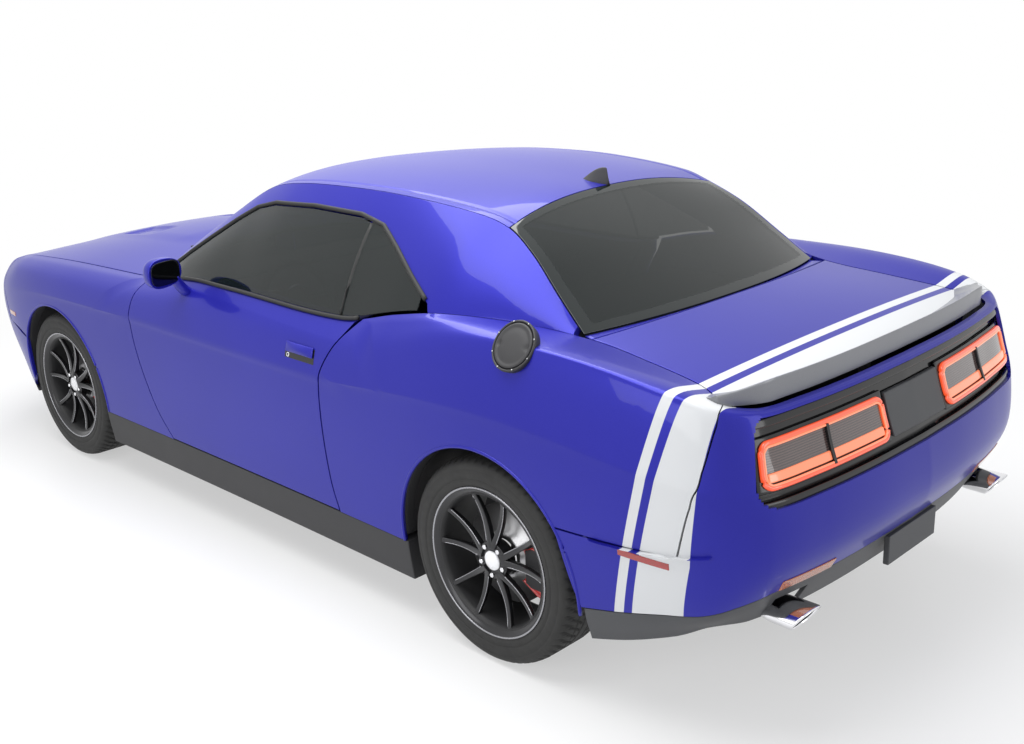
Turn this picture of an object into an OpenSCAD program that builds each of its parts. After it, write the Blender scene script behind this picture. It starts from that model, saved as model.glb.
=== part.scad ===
// Two-door muscle car, standing on its wheels: +X forward, +Y left, +Z up.
// The body is drawn as one skin surface, and each panel is a cut of that skin.

/* [Overall size] */
// Distance between the front and rear axles
wheelbase = 2951; // [2500:1:3500]
// Front axle to the nose
front_overhang = 970; // [820:1:1160]
// Rear axle to the tail
rear_overhang = 1075; // [900:1:1290]
// Width over the body sides, without mirrors
body_width = 1922; // [1700:1:2300]
// Height of the roof above the ground
roof_height = 1508; // [1380:1:1800]

/* [Wheels] */
// Outer diameter of a tyre
tyre_d = 728; // [620:1:740]
// Width of a tyre
tyre_w = 245; // [205:1:290]
// Diameter of the rim at its bead
rim_d = 508; // [420:1:560]
// Distance between the front wheel centres
front_track = 1610; // [1450:1:1700]
// Distance between the rear wheel centres
rear_track = 1621; // [1450:1:1700]
// Brake disc diameter
disc_d = 350; // [280:1:390]
// Gap between tyre and wheel arch
arch_gap = 48; // [30:1:60]

/* [Panels] */
// Thickness of the outer panels
skin = 14; // [8:1:20]
// Gap round doors and lids
shut_gap = 6; // [5:0.5:9]
// Gap between fixed panels that meet
seam = 0.6; // [0.4:0.1:0.8]
// Thickness of the window glass
glass = 5; // [4:0.5:8]
// Thickness of a door from its skin to the floor's side rail
door_t = 128; // [110:1:140]

/* [Cabin] */
// Height of the cabin floor above the ground
floor_z = 200; // [170:1:240]
// Thickness of floor and bulkheads
pan = 16; // [8:1:30]
// Diameter of the steering wheel
steering_d = 370; // [320:1:400]
// Distance of the driver's centre line from the car's centre line
driver_y = 385; // [330:1:420]

/* [Fittings] */
// Diameter of the fuel filler cap
filler_d = 150; // [120:1:190]
// Radius of a jacking pad
pad_r = 25; // [15:1:35]
// Radius of a number plate hole
plate_hole_r = 3; // [2.5:0.5:4]
// Distance between the two number plate holes
plate_spacing = 178; // [150:1:240]

/* [Hidden] */

fit = 0.3;                       // clearance of a piece on its seat
wheel_z = tyre_d / 2;            // height of the wheel centres
shift = (rear_overhang - front_overhang) / 2;   // puts the origin under the middle
axle_f = wheelbase / 2 + shift;
axle_r = -wheelbase / 2 + shift;
arch_r = tyre_d / 2 + arch_gap;

// ---- the skin in its drawing size, stretched to the driving dimensions ----
draw = [2951, 970, 1075, 1922, 1508];   // drawn wheelbase, overhangs, width, height
function mx(x) = shift + (x > draw[0] / 2 ? wheelbase / 2 + (x - draw[0] / 2) * front_overhang / draw[1]
  : x < -draw[0] / 2 ? -wheelbase / 2 + (x + draw[0] / 2) * rear_overhang / draw[2]
  : x * wheelbase / draw[0]);
function lx(d) = d * wheelbase / draw[0];
function my(y) = y * body_width / draw[3];
function mz(z) = z * roof_height / draw[4];
function stretch(p) = [mx(p[0]), my(p[1]), mz(p[2])];
function ux(x) = let(w = x - shift) w > wheelbase / 2
  ? draw[0] / 2 + (w - wheelbase / 2) * draw[1] / front_overhang
  : w < -wheelbase / 2 ? -draw[0] / 2 + (w + wheelbase / 2) * draw[2] / rear_overhang
  : w * draw[0] / wheelbase;
function uz(z) = z * draw[4] / roof_height;

rocker_y = my(953) - door_t;     // outer face of the floor's side rails
front_bay_y = my(474);           // inner wall of a front wheel arch
rear_bay_y = my(640);            // inner wall of a rear wheel arch

// ---- smooth curves through short tables, first column ascending ----
function find(T, x, i = 0) = i >= len(T) - 2 || x < T[i + 1][0] ? i : find(T, x, i + 1);
function slope(T, i) = let(a = max(i - 1, 0), b = min(i + 1, len(T) - 1))
  (T[b] - T[a]) / (T[b][0] - T[a][0]);
function cubic(a, b, ma, mb, t) = (2 * t * t * t - 3 * t * t + 1) * a
  + (t * t * t - 2 * t * t + t) * ma + (3 * t * t - 2 * t * t * t) * b + (t * t * t - t * t) * mb;
function row(T, x) = let(i = find(T, x), h = T[i + 1][0] - T[i][0])
  cubic(T[i], T[i + 1], slope(T, i) * h, slope(T, i + 1) * h, (x - T[i][0]) / h);
function mix(a, b, t) = a + (b - a) * t;

// Plan of the widest line of the left side; u follows x along the side and then
// runs on round the corners to the centre line.   u, x, y
plan = [
  [-3300, -2550.5, 0], [-3000, -2543, 300], [-2760, -2520, 560], [-2570, -2478, 760],
  [-2450, -2412, 862], [-2340, -2328, 918], [-2200, -2200, 945], [-2000, -2000, 957],
  [-1476, -1476, 961], [-1000, -1000, 957], [-500, -500, 954], [0, 0, 953],
  [600, 600, 955], [1100, 1100, 958], [1476, 1476, 958], [1800, 1800, 948],
  [2020, 2020, 925], [2180, 2180, 880], [2310, 2275, 790], [2500, 2358, 610],
  [2790, 2422, 330], [3120, 2445.5, 0]];
// Sections of the skin: how far each level lies inside the widest line, and its height.
// 0 skirt, 1 paint border, 2 flank, 3 below the crease, 4 crease, 5 upper flank,
// 6 shoulder, 7 edge of hood, window or deck.
// u, in0, z0, in1, z1, in2, z2, in3, z3, in4, z4, in5, z5, in6, z6, in7, z7
skin_rows = [
  [-3300, 120, 385, 52, 512, 0, 628, 18, 795, 55, 905, 92, 1024, 104, 1044, 126, 1052],
  [-2760, 120, 388, 50, 512, 4, 628, 18, 795, 55, 905, 90, 1024, 102, 1044, 124, 1050],
  [-2570, 118, 392, 48, 505, 4, 628, 12, 795, 42, 905, 78, 1026, 94, 1048, 120, 1052],
  [-2340, 110, 380, 40, 455, 4, 622, 2, 808, 10, 880, 50, 1040, 84, 1078, 168, 1066],
  [-2200, 90, 330, 34, 430, 4, 614, 0, 820, 5, 890, 42, 1068, 84, 1104, 218, 1084],
  [-2000, 70, 260, 28, 380, 4, 600, 0, 836, 4, 908, 44, 1098, 88, 1128, 252, 1104],
  [-1750, 50, 200, 25, 330, 4, 590, 0, 850, 3, 925, 46, 1112, 92, 1144, 272, 1127],
  [-1476, 45, 170, 25, 322, 6, 580, 0, 852, 2, 930, 44, 1102, 90, 1148, 205, 1154],
  [-1200, 45, 165, 25, 322, 8, 570, 0, 848, 1, 912, 40, 1068, 86, 1130, 132, 1152],
  [-1000, 45, 165, 25, 322, 10, 565, 1, 838, 0, 890, 34, 1020, 80, 1092, 112, 1120],
  [-700, 45, 165, 25, 322, 12, 560, 2, 818, 0, 862, 32, 982, 78, 1040, 96, 1056],
  [0, 45, 165, 25, 322, 14, 560, 3, 812, 0, 856, 32, 974, 78, 1040, 94, 1056],
  [300, 45, 165, 25, 322, 14, 560, 3, 812, 0, 856, 32, 968, 78, 1034, 96, 1054],
  [650, 45, 165, 25, 322, 13, 560, 3, 812, 0, 855, 34, 944, 92, 992, 134, 1008],
  [800, 45, 165, 25, 322, 12, 560, 3, 808, 0, 852, 34, 934, 96, 980, 154, 992],
  [1476, 45, 170, 25, 322, 8, 560, 2, 790, 0, 840, 34, 914, 94, 956, 160, 968],
  [1900, 60, 200, 30, 325, 8, 550, 0, 740, 2, 816, 34, 892, 88, 930, 148, 943],
  [2080, 78, 222, 52, 335, 14, 520, 0, 690, 4, 790, 34, 858, 80, 906, 140, 922],
  [2310, 120, 235, 96, 335, 26, 500, 0, 620, 14, 756, 34, 812, 72, 866, 120, 884],
  [2500, 100, 238, 72, 335, 18, 490, 0, 610, 14, 756, 30, 808, 58, 850, 96, 868],
  [3120, 80, 240, 52, 335, 10, 480, 0, 605, 14, 756, 28, 806, 52, 845, 84, 864]];
// Upper edge of the side windows' frame: windshield side, roof edge, rear window side.
// x, y, z
rail = [
  [-1690, 672, 1132], [-1560, 640, 1230], [-1420, 602, 1336], [-1282, 572, 1408],
  [-1150, 584, 1444], [-800, 598, 1474], [-500, 601, 1478], [-150, 594, 1462],
  [80, 582, 1418], [300, 628, 1296], [520, 700, 1150], [700, 768, 1012]];

function at_level(r, k) = [r[1 + 2 * k], r[2 + 2 * k]];
function level_pt(r, l) = let(k = min(floor(l), 6), a = max(k - 1, 0), b = min(k + 2, 7))
  cubic(at_level(r, k), at_level(r, k + 1), (at_level(r, k + 1) - at_level(r, a)) / (k + 1 - a),
    (at_level(r, b) - at_level(r, k)) / (b - k), l - k);
function plan_pt(u) = let(r = row(plan, u)) [r[1], r[2]];
function plan_normal(u) = let(t = plan_pt(u + 1) - plan_pt(u - 1)) [-t[1], t[0]] / norm(t);
// Point of the skin at u and level l, on side s (1 left, -1 right)
function skin_pt(u, l, s = 1) = let(q = level_pt(row(skin_rows, u), l),
  p = plan_pt(u) - plan_normal(u) * q[0]) stretch([p[0], s * p[1], q[1]]);
// Level at which the skin has the drawn height z
function level_of(r, z, a = 0, b = 6, n = 12) = n == 0 ? (a + b) / 2
  : level_pt(r, (a + b) / 2)[1] < z ? level_of(r, z, (a + b) / 2, b, n - 1)
  : level_of(r, z, a, (a + b) / 2, n - 1);
function level(u, z) = level_of(row(skin_rows, u), z);

// Side of the cabin between the top of the body and the rail; t 0 at the belt, 1 at the rail
function side_pt(x, t, s = 1) = let(b = skin_pt(x, 7), r = stretch(row(rail, x)),
  p = mix(b, r, t) + [0, 1, 0.35] * my(22) * 4 * t * (1 - t) * min(1, norm(r - b) / 250))
  [p[0], s * p[1], p[2]];
function side_t(x, z) = let(b = row(skin_rows, x)[16], r = row(rail, x)[2]) (z - b) / (r - b);

// ---- panels: a grid of points on the skin, given a thickness ----
function grid_normal(G, i, j) = let(n = len(G) - 1, m = len(G[0]) - 1,
  c = cross(G[min(i + 1, n)][j] - G[max(i - 1, 0)][j], G[i][min(j + 1, m)] - G[i][max(j - 1, 0)]))
  c / norm(c);
function outward(G) = let(i = floor(len(G) / 2), j = floor(len(G[0]) / 2), p = G[i][j])
  grid_normal(G, i, j) * (p - [p[0] * 0.6, 0, 500]) > 0 ? 1 : -1;
function sink(G, d) = let(o = outward(G)) [for (i = [0:len(G) - 1])
  [for (j = [0:len(G[0]) - 1]) G[i][j] - o * grid_normal(G, i, j) * d]];
// The same, but rows j in flat move level, so that panels above and below don't cross
function sink_flat(G, d, flat) = let(o = outward(G)) [for (i = [0:len(G) - 1])
  [for (j = [0:len(G[0]) - 1]) let(n = grid_normal(G, i, j), h = [n[0], n[1], 0])
    G[i][j] - o * d * (len(search(j, flat)) > 0 ? h / norm(h) : n)]];
function part_of(G, i0, i1, j0, j1) = [for (i = [i0:i1]) [for (j = [j0:j1]) G[i][j]]];
function quad(a, b, c, d) = [[a, b, c], [a, c, d]];
// A closed sheet between an outer and an inner grid; keep(i, j) says which cells stay
module slab(outer, inner, keep = function(i, j) true) {
  n = len(outer) - 1;
  m = len(outer[0]) - 1;
  flip = outward(outer) < 0;
  count = (n + 1) * (m + 1);
  there = function(i, j) i >= 0 && j >= 0 && i < n && j < m && keep(i, j);
  id = function(i, j) i * (m + 1) + j;
  sides = [for (i = [0:n - 1]) for (j = [0:m - 1]) if (there(i, j))
    let(a = id(i, j), b = id(i + 1, j), c = id(i + 1, j + 1), d = id(i, j + 1), k = count)
    each concat(quad(a, d, c, b), quad(a + k, b + k, c + k, d + k),
      there(i, j - 1) ? [] : quad(a, b, b + k, a + k),
      there(i + 1, j) ? [] : quad(b, c, c + k, b + k),
      there(i, j + 1) ? [] : quad(c, d, d + k, c + k),
      there(i - 1, j) ? [] : quad(d, a, a + k, d + k))];
  faces = flip ? [for (f = sides) [f[2], f[1], f[0]]] : sides;
  polyhedron(points = concat([for (r = outer) each r], [for (r = inner) each r]), faces = faces);
}
module panel(G, t = skin, keep = function(i, j) true, flat = [])
  slab(G, sink_flat(G, t, flat), keep);
// Grid between two edges, each a list of [u, level], on the skin
function loft(A, B, rows, s = 1) = [for (i = [0:len(A) - 1]) [for (j = [0:rows])
  let(q = mix(A[i], B[i], j / rows)) skin_pt(q[0], q[1], s)]];
function on_skin(E) = [for (e = E) [e[0], level(e[0], e[1])]];
// Sheet between two end curves and two mirrored side curves. ends(v), rear(w), front(w)
// give points; crown lifts the middle.
function sheet(side, rear, front, crown, n, m, v0 = 0, v1 = 1, w1 = 1) =
  [for (i = [0:n]) [for (j = [0:m]) let(v = mix(v0, v1, i / n), w = mix(-w1, w1, j / m), a = abs(w),
    e = mix(rear(a), front(a), v),
    c = side(v) - mix(rear(1), front(1), v), p = e + c * a * a)
    [p[0], (w < 0 ? -1 : 1) * p[1], p[2] + crown * (1 - w * w) * 4 * v * (1 - v)]]];

function arch_pt(x, a) = [ux(x + arch_r * cos(a)), uz(wheel_z + arch_r * sin(a))];
function samples(a, b, n) = [for (i = [0:n]) mix(a, b, i / n)];

// ---- cut lines, drawn size ----
border_z = 322;
// Front and rear edge of the door.   z, x
door_front = [[322, 488], [420, 575], [520, 632], [700, 693], [859, 708], [960, 700], [1060, 676]];
door_rear = [[322, -692], [450, -660], [680, -645], [857, -662], [960, -716], [1060, -800]];
// Front edge of the rear bumper.   z, x
tail_cut = [[640, -2256], [800, -2300], [960, -2345], [1110, -2392]];
// Where the roof's front and rear edges, and the feet of the two screens, reach the rail
header_x = 80;
rear_header_x = -1282;
screen_foot_x = 700;
back_foot_x = -1690;
// Opening of the side windows above the belt, from its front foot round to its rear foot: x, z
window_edge = [[612, 1034], [470, 1112], [330, 1202], [190, 1286], [70, 1346], [-60, 1376],
  [-330, 1392], [-620, 1390], [-760, 1366], [-880, 1304], [-1010, 1232], [-1128, 1172]];

// ---- outer panels ----
function edge_list(T, z0, z1, n, dx) = [for (z = samples(z0, z1, n)) [row(T, z)[1] + dx, z]];
function fender_grid(s) = let(g = shut_gap / 2,
  back = on_skin(edge_list(door_front, border_z + seam, 985, 6, g)),
  top = [for (x = samples(712, 2078, 10)) [x, 7 - 0.02]],
  nose = [[2080, 6.3], [2080, level(2080, 804)], [2063, level(2063, 640)], [2060, level(2060, 600)]],
  B = concat(back, top, nose),
  n = len(B) - 1,
  A = [for (i = [0:n]) let(a = mix(180 + asin((wheel_z - mz(border_z)) / arch_r), 27.5, i / n),
    p = arch_pt(axle_f, a)) [p[0], level(p[0], p[1])]])
  loft(A, B, 4, s);
module fender(s) color([0.16, 0.16, 0.6]) panel(fender_grid(s));

function quarter_grid(s) = let(g = shut_gap / 2,
  front = on_skin(edge_list(door_rear, border_z + seam, 1040, 6, -g - 1)),
  top = [for (x = samples(-800, -2380, 14)) [x, 7 - 0.004]],
  tail = [[-2388, 6.3], for (z = [1000, 860, 740, 655]) [row(tail_cut, z)[1] + 3, level(-2300, z)]],
  B = concat(front, top, tail),
  n = len(B) - 1,
  A = [for (i = [0:n]) let(a = mix(-asin((wheel_z - mz(border_z)) / arch_r), 142, i / n),
    p = arch_pt(axle_r, a)) [p[0], level(p[0], p[1])]])
  loft(A, B, 4, s);
filler = [-1615, 5.35];          // u and level of the filler's middle
module at_filler() {
  p = skin_pt(filler[0], filler[1]);
  a = skin_pt(filler[0] + 20, filler[1]) - skin_pt(filler[0] - 20, filler[1]);
  b = skin_pt(filler[0], filler[1] + 0.1) - skin_pt(filler[0], filler[1] - 0.1);
  n = cross(b, a) / norm(cross(b, a));
  translate(p) rotate([0, acos(n[2]), atan2(n[1], n[0])]) children();
}
module quarter(s) color([0.16, 0.16, 0.6]) difference() {
  panel(quarter_grid(s));
  if (s > 0) at_filler() translate([0, 0, -50]) cylinder(d = filler_d + 28 + 4 * fit, h = 100, $fn = 48);
}

function door_grid(s) = let(g = shut_gap / 2, z0 = border_z + g + 2,
  A = on_skin(edge_list(door_front, z0, 1000, 8, -g)),
  B = on_skin(edge_list(door_rear, z0, 1000, 8, g)),
  A2 = concat(A, [[680 - g, 6.4], [640, 6.97]]), B2 = concat(B, [[-786 + g, 6.4], [-800 + g, 6.97]]))
  loft(A2, B2, 10, s);
function door_inner(G, s) = [for (i = [0:len(G) - 1]) [for (j = [0:len(G[0]) - 1])
  let(p = G[i][j], e = j == 0 ? -8 : j == len(G[0]) - 1 ? 12 : 0)
  [p[0] + e, s * (rocker_y + fit - max(0, p[2] - mz(700)) * 0.14), p[2]]]];
module door(s) color([0.16, 0.16, 0.6]) { G = door_grid(s); slab(G, door_inner(G, s)); }

module sills() color([0.05, 0.05, 0.05]) for (s = [1, -1]) {
  reach = sqrt(arch_r * arch_r - pow(wheel_z - mz(240), 2));
  us = samples(ux(axle_r + reach), ux(axle_f - reach), 12);
  G = loft([for (u = us) [u, 0]], [for (u = us) [u, 1 - 0.002]], 2, s);
  slab(G, [for (r = G) [for (p = r) [p[0], s * (rocker_y + fit), p[2]]]]);
}

// Fascia columns, as u of the plan: cut edge, one between, end of the wide opening, and on
nose_u = [2088, 2200, 2330, 2440, 2560, 2700, 2880, 3120];
tail_u = [-2398, -2470, -2548, -2650, -2790, -2950, -3110, -3300];
// Fascia: rows by level from one end cut round to the other
function fascia(ends, us, levels) = let(n = len(us) - 1) [for (side = [1, -1])
  for (k = side > 0 ? [0:n] : [n - 1:-1:0]) [for (j = [0:len(levels) - 1]) let(e = ends[j],
    u = k == 0 ? e[0] : k == 1 ? mix(e[0], us[2], 0.5) : us[k],
    l = k == 0 ? e[1] : mix(e[1], levels[j], min(1, k / 2)))
      skin_pt(u, l, side)]];
function nose_grid() = let(foot = arch_pt(axle_f, 25))
  fascia([[2030, 0.2], [ux(axle_f + arch_r), 1], [foot[0] + 6, level(foot[0], foot[1] - 40)],
    [foot[0] + 60, level(foot[0] + 60, foot[1])], [2071, level(2071, 602)],
    [2085, level(2085, 804)], [2088, 6.3], [2088, 6.9]], nose_u,
    [0.2, 1, 2, 2.5, 3, 5, 6, 6.9]);
module front_bumper() color([0.16, 0.16, 0.6]) panel(nose_grid(), skin,
  function(i, j) !((j == 4 && i >= 2 && i <= 11) || (j == 1 && i >= 4 && i <= 9)), [0]);
lamp_d = 128;                    // front lamps
lamp_u = [2440, 2650];           // their places round the nose
module lamps(d, h) for (s = [1, -1]) for (u = lamp_u) {
  p = skin_pt(u, 3.7, s);
  n = plan_normal(u);
  translate(p - [n[0], s * n[1], 0] * (skin + 28)) rotate([0, 90, s * atan2(n[1], n[0])])
    cylinder(d = d, h = h, $fn = 40);
}
module grille() color([0.06, 0.06, 0.06]) difference() {
  G = sink(nose_grid(), skin + seam);
  slab(part_of(G, 1, 13, 4, 5), sink(part_of(G, 1, 13, 4, 5), 12));
  lamps(lamp_d + 4 * fit, 60);
}
module headlamps() color([0.8, 0.8, 0.82]) lamps(lamp_d, 34);
module front_splitter() color([0.05, 0.05, 0.05]) {
  us = samples(1990, 3120, 8);
  G = [for (side = [1, -1]) for (k = side > 0 ? [0:8] : [7:-1:0])
    [for (l = [0.194, 0]) skin_pt(us[k], l, side)]];
  panel(G, 26, flat = [0, 1]);
}

function tail_grid() = let(foot = arch_pt(axle_r, 144))
  fascia([[ux(axle_r - arch_r) - 10, 1], [foot[0] - 4, level(foot[0], foot[1] - 16)],
    [-2266, level(-2266, 636)], [-2306, level(-2306, 800)], [-2339, level(-2339, 905)],
    [-2379, level(-2379, 1030)], [-2397, 6.3], [-2400, 6.9]], tail_u,
    [1, 2, 2.4, 3, 4, 5, 6, 6.9]);
module rear_bumper() color([0.16, 0.16, 0.6]) panel(tail_grid(), skin,
  function(i, j) !((j == 3 || j == 4) && i >= 2 && i <= 11), [0]);
module tail_panel() color([0.04, 0.04, 0.04]) {
  G = sink(tail_grid(), skin + seam);
  slab(part_of(G, 1, 13, 2, 6), sink(part_of(G, 1, 13, 2, 6), 12));
}
module tail_lamps() color([0.8, 0.1, 0.05]) for (s = [1, -1]) {
  us = samples(-2572, -3105, 5);
  G = [for (u = us) [for (l = [3.2, 4, 4.84]) skin_pt(u, l, s)]];
  slab(sink(G, 3), sink(G, skin - 1));
}
plate_x = skin_pt(-3300, 0.98)[0];   // rear face of the valance in the middle
module rear_valance() color([0.08, 0.08, 0.08]) difference() {
  union() {
    us = [ux(axle_r - arch_r) - 20, -2150, -2400, -2612, -2765, -2950, -3130, -3300];
    G = [for (side = [1, -1]) for (k = side > 0 ? [0:7] : [6:-1:0])
      [for (l = [0, 0.68, 1 - 0.02]) skin_pt(us[k], l, side)]];
    panel(G, skin, function(i, j) !(j == 0 && (i == 3 || i == 10)), [2]);
    block([plate_x - 6, plate_x + 14], [-156, 156], [mz(398), mz(498)]);
  }
  for (s = [1, -1]) translate([plate_x - 7, s * plate_spacing / 2, mz(466)]) rotate([0, 90, 0])
    cylinder(r = plate_hole_r, h = 22, $fn = 32);
}

// Outer edges of the lids and of the glass, as curves of v and w
function cowl_pt(w) = let(e = skin_pt(720, 7)) [e[0] + lx(230) * (1 - pow(w, 2.2)), e[1] * w,
  e[2] + mz(44) * (1 - w * w)];
function hood_grid() = let(u1 = 2300)
  sheet(function(v) skin_pt(mix(720, u1, v), 7), function(w) cowl_pt(w),
    function(w) skin_pt(mix(3120, u1, w), 7), mz(62), 12, 12, 0.004, 0.994, 0.993);
module hood() color([0.16, 0.16, 0.6]) panel(hood_grid(), skin);

function roof_side(v) = stretch(row(rail, mix(rear_header_x, header_x, v)));
function roof_rear(w) = let(e = roof_side(0)) [e[0] + lx(50) * (1 - w * w), e[1] * w,
  e[2] + mz(62) * (1 - pow(w, 2.4))];
function roof_front(w) = let(e = roof_side(1)) [e[0] + lx(70) * (1 - w * w), e[1] * w,
  e[2] + mz(44) * (1 - pow(w, 2.4))];
// Inner grid whose rail rows lean in under the roof, so roof and frames meet in a mitre
function mitred(G, t, rows, lean) = let(I = sink(G, t)) [for (i = [0:len(G) - 1])
  [for (j = [0:len(G[0]) - 1]) len(search(j, rows)) == 0 ? I[i][j]
    : G[i][j] + [0, -sign(G[i][j][1]), -1] * lean]];
module roof() color([0.16, 0.16, 0.6]) { G = roof_grid(); slab(G, mitred(G, skin, [0, 10], skin)); }
function roof_grid() = sheet(function(v) roof_side(v),
  function(w) roof_rear(w), function(w) roof_front(w), mz(40), 10, 10, 0.001, 0.999, 0.999);

function screen_side(v) = stretch(row(rail, mix(header_x, screen_foot_x, v)));
function screen_foot(w) = let(e = screen_side(1)) [e[0] + lx(205) * (1 - pow(w, 2.2)), e[1] * w,
  e[2] + mz(26) * (1 - w * w)];
module windshield() color([0.1, 0.14, 0.12, 0.5]) panel(sheet(function(v) screen_side(v),
  function(w) roof_front(w), function(w) screen_foot(w), mz(18), 8, 10, 0.002, 0.999, 0.995), glass);
function back_side(v) = stretch(row(rail, mix(back_foot_x, rear_header_x, v)));
function back_foot(w) = let(e = back_side(0)) [e[0] - lx(100) * (1 - pow(w, 2.2)), e[1] * w,
  e[2] + mz(14) * (1 - w * w)];
module rear_window() color([0.1, 0.12, 0.12, 0.5]) panel(sheet(function(v) back_side(v),
  function(w) back_foot(w), function(w) roof_rear(w), mz(12), 6, 10, 0.001, 0.9965, 0.991), glass);

function frame_grid(s) = let(N = len(window_edge) - 1, t0 = side_t(-1128, 1172),
  X = concat([for (k = [0:6]) mix(692, header_x, k / 7)],
    [for (k = [0:8]) mix(header_x, rear_header_x, k / 9)],
    [for (k = [0:6]) mix(rear_header_x, -1664, k / 6)]),
  m = len(X) - 1,
  A = concat([for (i = [0:m]) let(f = i / m * N, k = min(floor(f), N - 1),
      p = mix(window_edge[k], window_edge[k + 1], f - k)) [p[0], side_t(p[0], p[1])]],
    [for (i = [1:5]) [-1128 - 3 * i, mix(t0, 0.003, i / 5)]]),
  B = concat([for (x = X) [x, 0.997]], [for (i = [1:5]) [-1664 - 3 * i, mix(0.997, 0.003, i / 5)]]))
  [for (i = [0:m + 5]) [for (j = [0:4]) let(q = mix(A[i], B[i], j / 4)) side_pt(q[0], q[1], s)]];
module side_frames() color([0.16, 0.16, 0.6]) for (s = [1, -1]) {
  G = frame_grid(s);
  slab(G, mitred(G, 24, [4], 18));
}

// Window glass between the belt and the window edge, front x to rear x
function glass_grid(x0, x1, s, n, gap) = [for (i = [0:n]) let(x = mix(x0, x1, i / n),
  z = window_z(x)) [for (j = [0:4]) side_pt(x, mix(0.03, side_t(x, z) - gap, j / 4), s)]];
function window_z(x, k = 0) = k >= len(window_edge) - 2 || x > window_edge[k + 1][0]
  ? mix(window_edge[k][1], window_edge[k + 1][1],
    (x - window_edge[k][0]) / (window_edge[k + 1][0] - window_edge[k][0])) : window_z(x, k + 1);
door_glass_rear_x = -690;
module door_glass(s) color([0.1, 0.14, 0.12, 0.5])
  panel(glass_grid(560, door_glass_rear_x + shut_gap / 2, s, 12, 0.016), glass);
module quarter_windows() color([0.1, 0.14, 0.12, 0.5]) for (s = [1, -1])
  panel(glass_grid(door_glass_rear_x - shut_gap / 2, -1090, s, 6, 0.005), glass);

function lid_side(v) = skin_pt(mix(-2392, -1740, v), 7);
function lid_rear(w) = let(e = lid_side(0)) [e[0] - lx(112) * (1 - pow(w, 2.3)), e[1] * w,
  e[2] - mz(4) * (1 - w * w)];
function lid_front(w) = let(e = lid_side(1)) [e[0] - lx(64) * (1 - pow(w, 2.2)), e[1] * w,
  e[2] + mz(18) * (1 - w * w)];
function lid_grid() = sheet(function(v) lid_side(v), function(w) lid_rear(w),
  function(w) lid_front(w), mz(8), 8, 10, 0.006, 0.994, 0.992);
module trunk_lid() color([0.16, 0.16, 0.6]) panel(lid_grid(), skin);

// ---- wheels ----
module tyre(x, y) color([0.08, 0.08, 0.08]) translate([x, y, wheel_z]) rotate([90, 0, 0])
  rotate_extrude($fn = 64) polygon([[rim_d / 2, -tyre_w / 2 + 20], [rim_d / 2 + 24, -tyre_w / 2 + 2],
    [tyre_d / 2 - 44, -tyre_w / 2], [tyre_d / 2 - 10, -tyre_w / 2 + 18], [tyre_d / 2, -tyre_w / 2 + 44],
    [tyre_d / 2, tyre_w / 2 - 44], [tyre_d / 2 - 10, tyre_w / 2 - 18], [tyre_d / 2 - 44, tyre_w / 2],
    [rim_d / 2 + 24, tyre_w / 2 - 2], [rim_d / 2, tyre_w / 2 - 20]]);
module rim(x, y) color([0.12, 0.12, 0.12]) {
  s = sign(y);
  r = rim_d / 2;
  translate([x, y, wheel_z]) rotate([s * -90, 0, 0]) {
    rotate_extrude($fn = 64) polygon([[r - fit, -tyre_w / 2 + 22], [r - fit, tyre_w / 2 - 22],
      [r - 16, tyre_w / 2 - 14], [r - 26, tyre_w / 2 - 30], [r - 20, -tyre_w / 2 + 34],
      [r - 16, -tyre_w / 2 + 16]]);
    for (a = [0:72:288]) for (b = [-11, 11]) rotate([0, 0, a + b])
      translate([40, -13, tyre_w / 2 - 58]) cube([r - 60, 26, 30]);
    translate([0, 0, tyre_w / 2 - 64]) cylinder(r = 74, h = 44, $fn = 40);
    translate([0, 0, -20]) cylinder(r = 70, h = tyre_w / 2 - 42, $fn = 40);
    translate([0, 0, -14]) cylinder(d = disc_d, h = 28, $fn = 64);
  }
}

// ---- running gear ----
kingpin_y = front_track / 2 - 60;
hub_in = 20;                     // inner face of a wheel's hub, inside the wheel's middle
// Caliper round a disc whose middle is at y, on the rear side of the hub
module caliper(s, y) difference() {
  block([-200, -115], [s * y - 50, s * y + 50], [-70, 70]);
  translate([0, s * y, 0]) rotate([90, 0, 0]) cylinder(d = disc_d + 12, h = 38, center = true, $fn = 64);
}
module knuckle(s) color([0.3, 0.3, 0.32]) translate([axle_f, 0, wheel_z]) {
  translate([0, s * kingpin_y, 0]) rotate([s * -90, 0, 0])
    cylinder(r = 56, h = front_track / 2 - hub_in - fit - kingpin_y, $fn = 40);
  block([-24, 24], [s * kingpin_y - 20, s * kingpin_y + 20], [-120, 150]);
  translate([0, s * kingpin_y, -174]) cylinder(r = 26, h = 56, $fn = 32);
  block([-140, -10], [s * (kingpin_y + 4) - 16, s * (kingpin_y + 4) + 16], [-30, 30]);
  caliper(s, front_track / 2);
}
// ---- structure, cabin and running gear ----
module block(x, y, z) translate([x[0], y[0], z[0]]) cube([x[1] - x[0], y[1] - y[0], z[1] - z[0]]);
module both_sides() for (s = [1, -1]) scale([1, s, 1]) children();

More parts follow.
